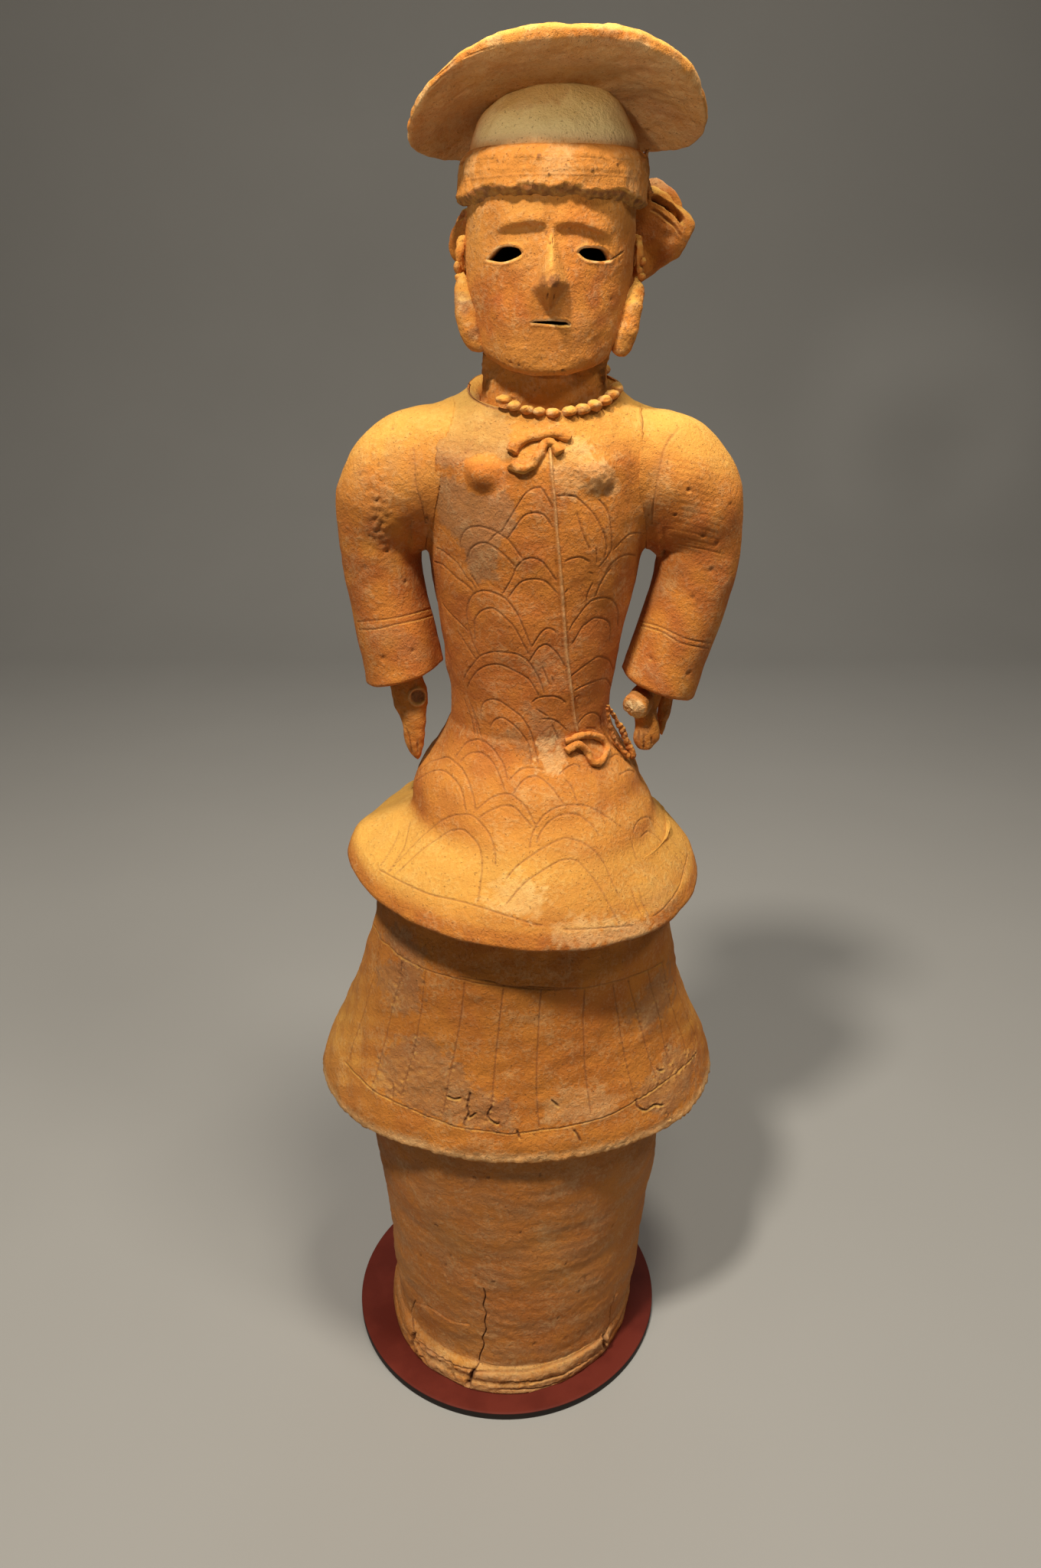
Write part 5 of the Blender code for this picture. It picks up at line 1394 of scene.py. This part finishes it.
# The crown is painted cream and brighter still as a painted highlight, less where it was repaired.
dome = ramp(h, 1.184, 1.200) * (1.0 - ramp(co[:, 1], -0.04, 0.0))
repair = patch(co, normal, CROWN_REPAIR, 2.0, 1.5, 76)
broken_tip = 0.75 * chipped * (0.5 + 0.5 * ramp(waves(co, 0.005, 77), -0.5, 0.8))
finished(head, dark=np.max([dark * 0.8, black, pit_shade, 0.97 * inner_skin, broken_tip], axis=0),
         red=held(0.85 * cheeks * (0.6 + 0.4 * waves(co, 0.018, 78)) + 0.35 * chipped),
         cream=np.clip(0.75 * lip * (0.6 + 0.4 * waves(co, 0.008, 79)) + 2.0 * dome * (1.0 - 0.5 * repair), 0.0, 2.0),
         grey=held(0.35 * repair + 0.18 * ramp(waves(co, 0.03, 80), 0.7, 1.8)),
         ochre=held(0.3 + 0.3 * waves(co, 0.05, 81) + 0.3 * ramp(h, 1.120, 1.150)))
# %% [markdown]
# A strip of clay goes round the brow. Its lower edge has broken off all the way, and the break
# slopes back to the face. The strip is a closed ring: down its front, in along the break, and up
# again inside the wall of the head. The two edges of the break are drawn from pixels.

# %% Headband
BREAK_EDGE = [(600.2, 265.7), (608.4, 257.6), (622.7, 251.4), (630.8, 244.3), (651.2, 240.2), (671.6, 242.2),
              (688, 239.2), (700.2, 239.2), (720.6, 241.2), (736.9, 238.2), (753.3, 241.2), (763.5, 246.3),
              (783.9, 247.3), (804.3, 247.3), (818.6, 255.5), (834.9, 261.6), (842, 267.8)]
FACE_EDGE = [(609.4, 268.8), (626.7, 267.8), (639, 259.6), (661.4, 256.5), (677.8, 257.6), (692, 255.5),
             (712.4, 256.5), (732.9, 258.6), (749.2, 255.5), (763.5, 260.6), (779.8, 261.6), (794.1, 262.7),
             (814.5, 267.8), (828.8, 271.8), (839, 278)]
PROUD = 0.0078
turn = around(340, 0.35)


def edge_heights(line, proud, rest):
    """Height of a traced edge for every column: read off a tube that stands proud of the head by so much."""
    levels = np.linspace(1.14, 1.20, 40)
    tube = grown(oval(np.column_stack([levels, smooth(HEAD, levels)]), turn, HEAD_POWER), proud)
    across, h = upright(on_clay(tree_of(skin("tube", leaning(tube))), line))
    here = oval(np.column_stack([[1.165], smooth(HEAD, 1.165)]), turn, HEAD_POWER)[0]
    found = np.interp(here[:, 0], across, h)
    weight = (here[:, 1] < 0.0) * ramp(here[:, 0], across[0] - 0.006, across[0])
    weight *= 1.0 - ramp(here[:, 0], across[-1], across[-1] + 0.006)
    back = rest + 0.0010 * waves(here, 0.02, 82)
    return found * weight + back * (1.0 - weight)


low_edge, contact = edge_heights(BREAK_EDGE, PROUD, 1.1600), edge_heights(FACE_EDGE, 0.0, 1.1560)
print("band edge from", low_edge.min().round(4), "to", low_edge.max().round(4))
top = np.array([(1.1890, -0.0040), (1.1890, -0.0006), (1.1872, 0.0018), (1.1850, 0.0042), (1.1825, 0.0060),
                (1.1795, 0.0071)])
down = np.linspace(0.0, 1.0, 22)[:, None]
front_h = top[-1, 0] + (low_edge[None] - top[-1, 0]) * down
front_out = 0.0071 + (PROUD - 0.0071) * down + 0.0004 * np.exp(-((front_h - 1.1725) / 0.0016) ** 2)
under = np.linspace(0.0, 1.0, 12)[1:, None]
under_h = low_edge[None] - 0.0012 * np.sin(under * math.pi) ** 0.5 + (contact - low_edge)[None] * under
under_out = PROUD * (1.0 - under) ** 0.8 - 0.0035 * under
inside_h, inside_out = contact[None] + 0.002, np.full((1, len(turn)), -0.0055)
heights = np.concatenate([np.repeat(top[:, :1], len(turn), 1), front_h, under_h, inside_h])
proud = np.concatenate([np.repeat(top[:, 1:], len(turn), 1), front_out, np.repeat(under_out, len(turn), 1),
                        inside_out])
level = np.linspace(1.140, 1.196, 57)
grid = oval(np.column_stack([level, smooth(HEAD, np.minimum(level, CROWN[0]))]), turn, HEAD_POWER)
place = (heights - level[0]) / (level[1] - level[0])
i = np.clip(place.astype(int), 0, len(level) - 2)
t = (place - i)[..., None]
column = np.arange(len(turn))
grid = grid[i, column] * (1.0 - t) + grid[i + 1, column] * t
grid[..., 2] = heights
grid = grown(grid, proud)
band = skin("headband", leaning(grid))
co, normal = surface(band)
rows = np.repeat(np.arange(len(heights)), len(turn))
broken = (rows >= len(top) + 21) & (rows < len(heights) - 1)
fresh = ramp(rows, len(top) + 20.5, len(top) + 22.0) * broken
relief = 0.0005 * waves(co, 0.03, 83) + 0.0002 * waves(co, 0.010, 84)
relief = np.where(fresh > 0.0, 0.0005 * waves(co, 0.010, 85) + 0.00022 * waves(co, 0.005, 86), relief)
relief *= (rows > 1) & (rows < len(heights) - 2)
push(band, co, normal, relief)
BAND_LINES = [[(604, 236), (640, 231), (680, 228.5), (740, 227.5), (800, 229), (832, 233)],
              [(776, 210), (784, 232)]]
BAND_PITS = [(704, 204), (740, 215), (717, 227), (774, 222), (650, 209), (612, 228), (806, 214), (690, 236)]
paths = scratched(band, BAND_LINES, 0.0016, 1)
pits = spots(band, BAND_PITS)
co, normal = surface(band)
line, dark = engrave(co, paths, 0.0011, 0.0003, 0.5)
sizes = np.where(np.arange(len(pits)) == 0, 0.0026, 0.0012)
hole, pit_shade = pitted(co, pits, sizes, 0.0012, 0.9 * sizes, 0.35, 0.7)
push(band, co, normal, line + hole)
across, h = upright(co)
bearing = np.arctan2(np.sin(turn), np.cos(turn))
order = np.argsort(bearing)
edge = np.interp(np.arctan2(co[:, 1], across), bearing[order], low_edge[order])
# The dark on the downward-facing break is painted shade.
fresh = 1.0 - ramp(h, edge - 0.0012, edge + 0.0002)
broken = fresh * (0.45 + 0.3 * ramp(waves(co, 0.007, 87), -0.4, 1.0))
finished(band, dark=np.max([0.15 * dark, pit_shade, broken], axis=0), red=0.4 * fresh, ochre=0.5 * (1.0 - fresh),
         cream=(1.0 - fresh) * 0.25 * ramp(waves(co, 0.04, 88), 0.2, 1.6))
# %% [markdown]
# The hair is a thick oval slab laid over the crown like a saddle, with a rounded rim. Fingers left
# shallow dents in it, and a comb left fine strokes on its left end.

# %% Hair slab
angle = around(300, 0.3)
lift = np.linspace(-math.pi / 2, math.pi / 2, 96)[1:-1]
reach, up = np.cos(lift)[:, None], np.sin(lift)[:, None]
spread = reach ** 0.55
ragged = 1.0 + 0.003 * np.sin(5.0 * angle + 1.0) + 0.0015 * np.sin(11.0 * angle)
x = np.cos(angle) * spread * HAIR["half"] * ragged
y = np.sin(angle) * spread * ragged * (HAIR["back"] - HAIR["front"]) / 2.0 + (HAIR["back"] + HAIR["front"]) / 2.0
z = hair_height(x, y) + np.sign(up) * np.abs(up) ** 0.62 * HAIR["thick"] / 2.0
hair = skin("hair_slab", leaning(np.stack([x, y, z], -1)), loop=False)
HAIR_LINES = [[(560, 118), (580, 104), (604, 88)], [(566, 126), (590, 108), (618, 90)],
              [(575, 130), (600, 112), (626, 96)], [(586, 131), (610, 116), (634, 103)], [(560, 132), (575, 120)],
              [(592, 138), (622, 120), (646, 108)], [(556, 106), (572, 94), (592, 80)],
              [(604, 76), (626, 68), (648, 61)], [(870, 95), (893, 118), (905, 140)],
              [(862, 103), (884, 127), (896, 148)]]
HAIR_PITS = [(857, 82), (890, 104), (833, 109), (879, 126), (833, 184), (587, 193), (556, 170), (610, 165),
             (815, 150), (846, 168), (655, 90), (735, 70), (785, 88), (600, 150), (905, 160)]
paths = scratched(hair, HAIR_LINES, 0.0016, 1)
pits = spots(hair, HAIR_PITS)
co, normal = surface(hair)
relief = 0.0008 * waves(co, 0.06, 91) + 0.0003 * waves(co, 0.018, 92) + 0.0001 * waves(co, 0.007, 93)
relief += engrave(co, paths, 0.0012, 0.0006, 0.3)[0]
hole, dark = pitted(co, pits, three_sizes(len(pits), 0.0018, 0.0004), 0.0014, 0.0018, 0.35, 0.7, fade=0.45)
push(hair, co, normal, relief + hole)
# Faces turned down are painted lighter, more ochre and cream: painted light on the slab's underside.
below = held(-normal[:, 2])
finished(hair, dark=dark, red=held(0.15 * below + 0.2 * waves(co, 0.03, 94)),
         ochre=held(0.6 + 0.4 * below + 0.3 * waves(co, 0.05, 95)),
         cream=held(0.5 * ramp(waves(co, 0.03, 96), 0.2, 1.5) * (1.0 - below) + 0.5 * below))

# %% [markdown]
# Behind the head hangs a clay bag of hair, a bowl with an open top: an outer ellipsoid, and inside
# it a narrower one, so that the rim is a thin wall and the opening is real.

# %% Hair bag
BAG = (0.0175, 0.066, 1.1335)
angle = around(150, 0.0)


def bowl(centre, half, low, high, count):
    """Rings of an ellipsoid between two latitudes."""
    lat = np.radians(np.linspace(low, high, count))[:, None]
    unit = np.stack([np.cos(lat) * np.cos(angle), np.cos(lat) * np.sin(angle), np.sin(lat) + 0.0 * angle], -1)
    return np.array(centre) + np.array(half) * unit


outer_bowl = bowl(BAG, (0.103, 0.028, 0.0475), -88.0, 50.0, 64)
inner_bowl = bowl((0.0175, 0.068, 1.1440), (0.0940, 0.0185, 0.0400), 38.0, -86.0, 30)
lip = (outer_bowl[-1:] + inner_bowl[:1]) / 2.0 + np.array([0.0, 0.0, 0.0022])
grid = np.concatenate([outer_bowl, lip, inner_bowl])
grid[..., 2] += np.tan(math.radians(3.0)) * (grid[..., 0] - BAG[0])
bag = skin("hair_bag", leaning(grid), loop=False)
co, normal = surface(bag)
push(bag, co, normal, 0.0012 * waves(co, 0.035, 97) + 0.0005 * waves(co, 0.012, 98))
BAG_LINES = [[(852, 257), (861, 261), (871, 267), (881, 275), (889, 284), (892, 289)],
             [(850, 273), (861, 279), (871.9, 288), (881.1, 296), (890, 309)],
             [(586, 303), (591, 294), (598, 285), (604, 280)]]
paths = scratched(bag, BAG_LINES, 0.0050, 2)
co, normal = surface(bag)
slot, deep = engrave(co, paths[:1] + paths[2:], 0.0036, 0.0085, 0.16)
line, dark = engrave(co, paths[1:2], 0.0014, 0.0010, 0.6)
push(bag, co, normal, line + slot)
# The bag's top rim is painted paler as painted top light, and its slot painted dark as painted shade.
finished(bag, dark=0.4 * np.maximum(dark, 2.2 * deep), red=held(0.35 + 0.35 * waves(co, 0.03, 99)),
         cream=0.5 * ramp(co[:, 2], 1.172, 1.184))
# %% [markdown]
# The ears are thin rings of clay set on the sides of the head. Round beads hang from them, and long
# flat drops hang from the beads along the jaw. A small upright sherd stands between the hair and
# the bag on the right.

# %% Ears, ear beads and drops
def ear(side, name):
    """A ring of clay, upright and seen from its edge by the camera."""
    t = np.linspace(0.0, 2.0 * math.pi, 72, endpoint=False)
    centre = np.array([side * 0.0690 + smooth(LEAN, 1.116)[0, 0], -0.008, 1.116 + FOOT])
    path = centre + np.stack([side * 0.0018 * np.cos(t) ** 2, 0.0105 * np.cos(t), 0.0128 * np.sin(t)], -1)
    out = (path - centre) / np.linalg.norm(path - centre, axis=1)[:, None]
    turn = np.linspace(0.0, 2.0 * math.pi, 30, endpoint=False)[None, :, None]
    aside = np.array([-1.0, 0.0, 0.0])
    ring = path[:, None] + 0.0029 * (np.cos(turn) * out[:, None] + np.sin(turn) * 1.1 * aside)
    return skin(name, ring)


DROPS = {
    "left_drop": ([(600, 355), (595.6, 366), (593.8, 383.5), (593.8, 404.3), (598.3, 428), (605.7, 446),
                   (614.6, 457.7), (624, 461), (630, 460.5)],
                  [(606, 355), (611, 366), (618, 383.5), (624, 407.3), (629, 428), (633, 442.9), (636, 452),
                   (635, 458), (631, 460.5)]),
    "right_drop": ([(829, 362), (823, 373), (815, 388), (810, 403.5), (806, 422), (802, 433), (798, 447),
                    (799, 459), (808, 465.5)],
                   [(834, 362), (840.2, 373), (840.8, 384), (839.6, 399.7), (835.2, 422), (829.6, 444.7),
                    (824, 459), (817, 465.5), (810, 466.4)])}
BEADS = {"left": [((597.6, 349.2), 5.6, 8.2), ((600.2, 362.5), 4.8, 5.2)],
         "right": [((840.6, 342.6), 4.8, 6.0), ((836.8, 352.4), 5.0, 5.2), ((838.2, 362.4), 4.6, 5.4)]}
for name, (left, right) in DROPS.items():
    drop = bar(name, left, right, [-0.020, -0.032, -0.036, -0.034], [0.0045, 0.0075, 0.0080, 0.0070],
               ends=(0.15, 0.16))
    co = weathered(drop, 0.0003, 0.00010, 101, 0.016)[0]
    finished(drop, grey=0.8 * ramp(waves(co, 0.018, 102), -0.4, 1.0) * (name == "left_drop"),
             ochre=0.5 + 0.4 * waves(co, 0.015, 103), cream=0.3 * ramp(waves(co, 0.01, 104), 0.2, 1.4),
             dark=0.6 * ramp(waves(co, 0.003, 105), 1.0, 1.6) * (name == "right_drop"))
for side, name in ((-1, "left"), (1, "right")):
    parts = [ear(side, name + "_ring")]
    for pixel, across, up in BEADS[name]:
        centre = at_depth(pixel, -0.020)
        scale = pixel_at(centre)
        parts.append(ball(centre, (across * scale, 0.0050, up * scale), (1.0, 0.0, 0.0)))
    piece = merged(name + "_ear", parts)
    co = weathered(piece, 0.0004, 0.00015, 106)[0]
    finished(piece, ochre=0.4 + 0.3 * waves(co, 0.012, 107))
sherd = bar("sherd", [(843, 196), (841.5, 203), (839.8, 212), (841.3, 225.9), (845, 241), (847, 252)],
            [(847.5, 196), (847, 203), (843.6, 212), (845, 225.9), (850, 241), (853, 252)], [0.010, 0.030, 0.045],
            [0.0025, 0.0035], 40, 24)
weathered(sherd, 0.0003, 0.0003, 108, 0.005)
finished(sherd, cream=0.5)
# %% [markdown]
# Round clay beads lie side by side where the neck leaves the jacket; the ones on the left shoulder
# are lost. Two ties close the jacket, at the breast and at the waist. Each is a coil bent into a
# loop, and its ends have broken off.

# %% Necklace
SEEN_BEADS = [((657.7, 521.6), 9.6, 5.6), ((671.7, 529.9), 8.8, 6.0), ((688.6, 535.0), 9.2, 5.8),
              ((704.4, 537.7), 8.4, 5.6), ((723.6, 539.0), 10.2, 5.4), ((743.1, 537.2), 9.8, 5.8),
              ((761.3, 534.0), 8.8, 6.8), ((776.9, 528.8), 8.6, 7.0), ((789.9, 523.1), 7.4, 6.6),
              ((799.2, 515.6), 7.6, 6.4), ((805.0, 507.0), 6.0, 6.4)]
BEAD_SIDE, BEAD_FRONT, BEAD_BACK = 0.0668, 0.0614, 0.0605
parts = []
for (px, py), wide, high in SEEN_BEADS:
    x = EYE[0] + (px - PHOTO[0] / 2) / PIXELS_PER_UNIT * 0.90 - smooth(LEAN, 1.00)[0, 0]
    y = -BEAD_FRONT * math.sin(math.acos(np.clip(x / 0.0665, -0.995, 0.995)))
    for _ in range(3):
        centre = at_depth((px, py), y)
        x = centre[0] - smooth(LEAN, 1.00)[0, 0]
        y = -BEAD_FRONT * math.sqrt(max(1.0 - (x / BEAD_SIDE) ** 2, 0.04))
    scale = pixel_at(centre)
    along_neck = np.array([-y / BEAD_FRONT ** 2, x / BEAD_SIDE ** 2, 0.0])
    along_neck /= np.linalg.norm(along_neck)
    stretch = wide * scale / max(abs(along_neck[0]), 0.55)
    parts.append(ball(centre, (min(stretch, 0.0068), 0.0058, high * scale * 1.05), along_neck))
for angle in np.radians(np.linspace(38.0, 138.0, 8)):
    back = BEAD_BACK * math.sin(angle)
    centre = np.array([0.0640 * math.cos(angle) + smooth(LEAN, 1.03)[0, 0], back, 1.020 + FOOT + COLLAR_TILT * back])
    parts.append(ball(centre, (0.0066, 0.0058, 0.0048), (-math.sin(angle), math.cos(angle), 0.0)))
necklace = merged("necklace", parts)
co = weathered(necklace, 0.0003, 0.00012, 111)[0]
finished(necklace, cream=0.25 + 0.25 * waves(co, 0.01, 112), ochre=0.6 + 0.3 * waves(co, 0.012, 113))
print("necklace of", len(parts), "beads")

# %% [markdown]
# The ties follow the jacket's skin: rays through their pixels find the clay, and the coil is drawn
# a little towards the camera from there, most where it crosses another.

# %% Ties at the breast and the waist
tree = tree_of(jacket)


def coil(name, pixels, radius, lift, raised=()):
    """A coil that lies on the jacket along a pixel line, lifted where it crosses another."""
    line = curve_through(pixels, 1.6)
    path = np.array([tree.ray_cast(Vector(EYE), Vector(sight(pixel)))[0] for pixel in line])
    for x, y, reach, amount in raised:
        lift = lift + amount * np.exp(-((line - (x, y)) ** 2).sum(axis=1) / reach ** 2)[:, None]
    path += (EYE - path) * lift / 0.95
    for _ in range(6):
        path[1:-1] = (path[:-2] + 2.0 * path[1:-1] + path[2:]) / 4.0
    return rod(name, path, radius, 0.95, blunt=0.25)


CHEST = [[(669, 590), (672, 584), (679, 578), (692, 571), (707.5, 567.5), (723, 566.5), (735, 569), (744, 573.5)],
         [(669, 606), (676, 612.5), (687, 612.5), (697, 605.5), (704, 594), (710, 582), (718, 577), (725, 582),
          (731, 591)]]
WAIST = [(738, 968.5), (749, 964.2), (758.3, 960.8), (769.8, 959.8), (780.5, 962), (789, 968.5), (792.8, 977),
         (791, 987), (786, 995), (779, 997.5), (772, 992.5), (767.6, 983), (762.5, 975), (755, 971.5), (747.5, 975),
         (740.5, 981)]
upper = coil("upper", CHEST[0], [0.0052, 0.0038, 0.0035, 0.0033, 0.0034], 0.0016, [(718, 568, 8, 0.0026)])
lower = coil("lower", CHEST[1], [0.0042, 0.0037, 0.0036, 0.0037, 0.0042], 0.0018)
chest = merged("chest_tie", [upper, lower])
waist = coil("waist_tie", WAIST, [0.0028, 0.0033, 0.0033, 0.0033, 0.0036], 0.0018, [(760, 973, 10, 0.0018)])
for data, seed in ((chest, 121), (waist, 124)):
    co = weathered(data, 0.00035, 0.00012, seed)[0]
    finished(data, ochre=0.35 + 0.3 * waves(co, 0.012, seed + 1), red=0.2 * (co[:, 2] < 0.9))

# %% [markdown]
# A torn strap hangs at the right hip: a ribbon that stands away from the jacket, with a thin second
# strand behind it.

# %% Hip strap
RIBBON = ([(792, 921), (795.5, 929), (801, 938), (804.5, 945), (807.5, 953), (812, 963), (816.8, 973.4),
           (821.4, 984.9), (824.5, 990)],
          [(796, 921), (802, 929.5), (808, 940), (815.5, 948.6), (819.5, 957), (822.8, 967), (827.8, 976),
           (831.2, 985), (828.5, 990.5)])
STRAND = [(793.9, 926), (796, 946), (799.6, 959.6), (804.2, 968.8), (811, 978), (820, 987)]
ribbon = bar("ribbon", *RIBBON, [-0.036, -0.030, -0.026, -0.024, -0.026], [0.0018, 0.0030, 0.0036, 0.0034], 70, 30,
             (0.1, 0.06))
strand = rod("strand", in_space(STRAND, [-0.040, -0.036, -0.032, -0.028], 60), [0.0016, 0.0018, 0.0020], columns=18)
strap = merged("hip_strap", [ribbon, strand])
co = weathered(strap, 0.00035, 0.00015, 127, 0.007)[0]
finished(strap, red=0.5 + 0.3 * waves(co, 0.012, 128), dark=0.15)
# %% [markdown]
# Each hand is a flattened bar of clay on a rod that hangs in the hollow sleeve. The left thumb has
# come off and left a round scar. The right thumb points forward, with a worn pale end.

# %% Hands
HANDS = {
    "left_hand": ([(485, 733), (494, 800), (501.5, 850), (508, 888), (512.1, 910.2), (515.7, 923.6), (522, 935.2),
                   (526.4, 945.9), (528.7, 963.8), (531.5, 975), (535, 982), (541, 988.5), (545, 991)],
                  [(523, 733), (533, 800), (542, 850), (553, 885), (558.5, 900), (559.2, 912), (557.2, 932.5),
                   (556, 946), (555, 959.3), (553.6, 973), (551.6, 982), (548.8, 988), (546, 991.3)],
                  [-0.004, -0.005, -0.006, -0.010, -0.014, -0.018, -0.019]),
    "right_hand": ([(883, 733), (866, 795), (849, 856), (836, 890), (829, 908), (827, 922), (829.5, 938),
                    (829, 950), (827.3, 960), (828.2, 969.3), (832.7, 976.4), (838, 979)],
                   [(921, 733), (908, 795), (892, 856), (876, 892), (864, 910), (858.6, 928), (860.4, 946.1),
                    (862.6, 957), (861.2, 967), (855, 973.5), (849, 978), (843, 979.3)],
                   [-0.004, -0.004, -0.005, -0.008, -0.014, -0.020, -0.024])}
SCAR, THUMB_END, THUMB_SIZE = (546.1, 910.2), (827.8, 926.5), (14.7, 13.5)
THICK = [0.012, 0.0125, 0.0125, 0.0120, 0.0105, 0.008, 0.006]
GROOVES = {"left_hand": [[(530, 950.4), (533.6, 959.3), (535.8, 970.9), (538.5, 984)], [(545, 968), (546.5, 985)]],
           "right_hand": [[(841.4, 958), (841, 979)], [(851, 962), (853, 976)], [(834, 955), (834.5, 968)]]}
left, right = (bar(name, *edges, THICK, 120, 56, (0.02, 0.10)) for name, edges in HANDS.items())
co = weathered(left, 0.0003, 0.0001, 131, 0.016)[0]
scar = spots(left, [SCAR])[0]
refine(left, np.linalg.norm(co - scar, axis=1) < 0.0100, 1)
paths = scratched(left, GROOVES["left_hand"], 0.0016, 1)
co, normal = surface(left)
round_scar = np.linalg.norm(co - scar, axis=1)
cut, dark = engrave(co, paths, 0.0012, 0.0010, 0.1)
rim = 0.0013 * np.exp(-((round_scar - 0.0078) / 0.0012) ** 2) - 0.0016 * (1.0 - ramp(round_scar, 0.0056, 0.0074))
facing = faces_camera(co, normal)
push(left, co, normal, cut + rim * facing + 0.0004 * waves(co, 0.004, 133) * (round_scar < 0.006))
inside_scar = (1.0 - ramp(round_scar, 0.0058, 0.0074)) * facing
finished(left, dark=0.5 * dark + 0.5 * inside_scar, grey=inside_scar, ochre=0.3 + 0.3 * waves(co, 0.02, 135),
         cream=0.6 * np.exp(-((round_scar - 0.0080) / 0.0012) ** 2) * facing, red=0.2 * (1.0 - inside_scar))

thumb = rod("thumb", in_space([(846, 903), (838, 913), (830.5, 923)], [-0.006, -0.018, -0.030], 30),
            [0.0112, 0.0120, 0.0122], blunt=0.45, columns=44)
plate = bar("plate", [(866, 880), (862, 905), (859, 930), (860, 948), (862, 958)],
            [(896, 880), (881.5, 910), (877, 926), (870.5, 946),
             (865, 960)], [0.004, 0.002, -0.002], [0.008, 0.007, 0.006],
            50, 34, (0.05, 0.1))
right = merged("right_hand_clay", [right, thumb, plate])
paths = scratched(right, GROOVES["right_hand"], 0.0016, 1)
co, normal = weathered(right, 0.0003, 0.0001, 136, 0.016)
cut, dark = engrave(co, paths, 0.0013, 0.0016, 0.1)
end = np.linalg.norm((seen(co) - THUMB_END) / THUMB_SIZE, axis=1)
worn = (1.0 - ramp(end, 0.85, 1.10)) * (co[:, 1] < -0.022)
push(right, co, normal, cut + 0.0004 * waves(co, 0.003, 138) * worn)
# The back part of the hand is painted redder and darker: painted shade.
rear = (co[:, 1] > -0.002) * ramp(seen(co)[:, 0], 856, 864)
right.name = "right_hand"
finished(right, dark=0.6 * dark, cream=worn * (0.9 + 0.2 * waves(co, 0.004, 139)), red=0.15 + 0.6 * rear,
         ochre=(0.3 + 0.3 * waves(co, 0.02, 140)) * (1.0 - rear),
         grey=0.5 * ramp(waves(co, 0.02, 141), 0.1, 1.2) * (co[:, 1] < -0.004) * (1.0 - worn))
# %% [markdown]
# The board is a flat red disc with a dark edge.

# %% The board
t = np.linspace(0.0, 2.0 * math.pi, 240, endpoint=False)
profile = np.array([(0.170, 0.0), (0.1725, 0.0), (0.1731, 0.0003), (0.1733, 0.0008), (0.1733, 0.0045),
                    (0.1733, 0.0082), (0.1731, 0.0087), (0.1725, 0.009), (0.170, 0.009), (0.120, 0.009),
                    (0.05, 0.009)])
grid = np.stack([profile[:, :1] * np.cos(t), profile[:, :1] * np.sin(t), profile[:, 1:] + 0.0 * t], -1)
board = skin("board", grid, loop=False)
finished(board, "red_board", "base_disc", dark=places(board)[:, 2] < 0.0085)

# %% [markdown]
# A studio sweep, and soft light from above: the old clay shows its relief by the light that comes
# down on its upward sides and the shade that is left beneath.

# %% Stage, light and the end
def sweep():
    """A floor that bends up into a wall behind, wide enough for every view."""
    profile = [(-6.0, 0.0), (2.5, 0.0)]
    profile += [(2.5 + 1.2 * math.sin(a), 1.2 - 1.2 * math.cos(a)) for a in np.linspace(0.1, math.pi / 2, 12)]
    profile += [(3.7, 5.0)]
    grid = np.array([[(x, y, z) for y, z in profile] for x in (-6.0, 6.0)])
    n = len(profile)
    faces = [(i, i + 1, n + i + 1, n + i) for i in range(n - 1)]
    return mesh_of("sweep", grid.reshape(-1, 3), [face[::-1] for face in faces])


paper = Paint("paper", 0.9)
paper.join("Base Color", paper.mix(paper.noise(0.5, 2.0), (0.30, 0.295, 0.29, 1.0), (0.33, 0.325, 0.32, 1.0)))
floor = bpy.data.objects.new("sweep", sweep())
floor.data.materials.append(paper.material)
bpy.context.scene.collection.objects.link(floor)


def hung(data, place, aim, power, colour):
    """A lamp at its place, turned to what it lights."""
    data.energy, data.color = power, colour
    lamp = bpy.data.objects.new(data.name, data)
    lamp.location = place
    lamp.rotation_euler = (Vector(aim) - Vector(place)).to_track_quat("-Z", "Y").to_euler()
    bpy.context.scene.collection.objects.link(lamp)


def soft_light(name, place, aim, size, power, colour):
    data = bpy.data.lights.new(name, "AREA")
    data.shape, data.size = "DISK", size
    hung(data, place, aim, power, colour)


soft_light("key", (-0.66, -1.18, 3.10), (0.0, 0.0, 0.7), 0.28, 80.0, (1.0, 0.92, 0.78))
soft_light("top", (0.35, -0.55, 3.10), (0.0, 0.0, 0.6), 0.50, 40.0, (1.0, 0.92, 0.76))
soft_light("right", (1.30, -1.00, 3.00), (0.0, 0.0, 0.7), 0.50, 18.0, (1.0, 0.92, 0.78))
spot = bpy.data.lights.new("head", "SPOT")
spot.shadow_soft_size, spot.spot_size, spot.spot_blend = 0.10, math.radians(10.0), 0.9
hung(spot, (-1.00, -2.45, 1.62), (0.03, -0.05, 1.245), 118.0, (1.0, 0.94, 0.82))
soft_light("back", (0.4, 1.8, 2.6), (0.0, 0.0, 0.8), 1.4, 8.0, (1.0, 0.97, 0.94))
world = bpy.data.worlds.new("studio")
world.use_nodes = True
world.node_tree.nodes["Background"].inputs["Color"].default_value = (1.0, 0.97, 0.94, 1.0)
world.node_tree.nodes["Background"].inputs["Strength"].default_value = 0.045
bpy.context.scene.world = world
bpy.context.scene.view_settings.view_transform = "Standard"
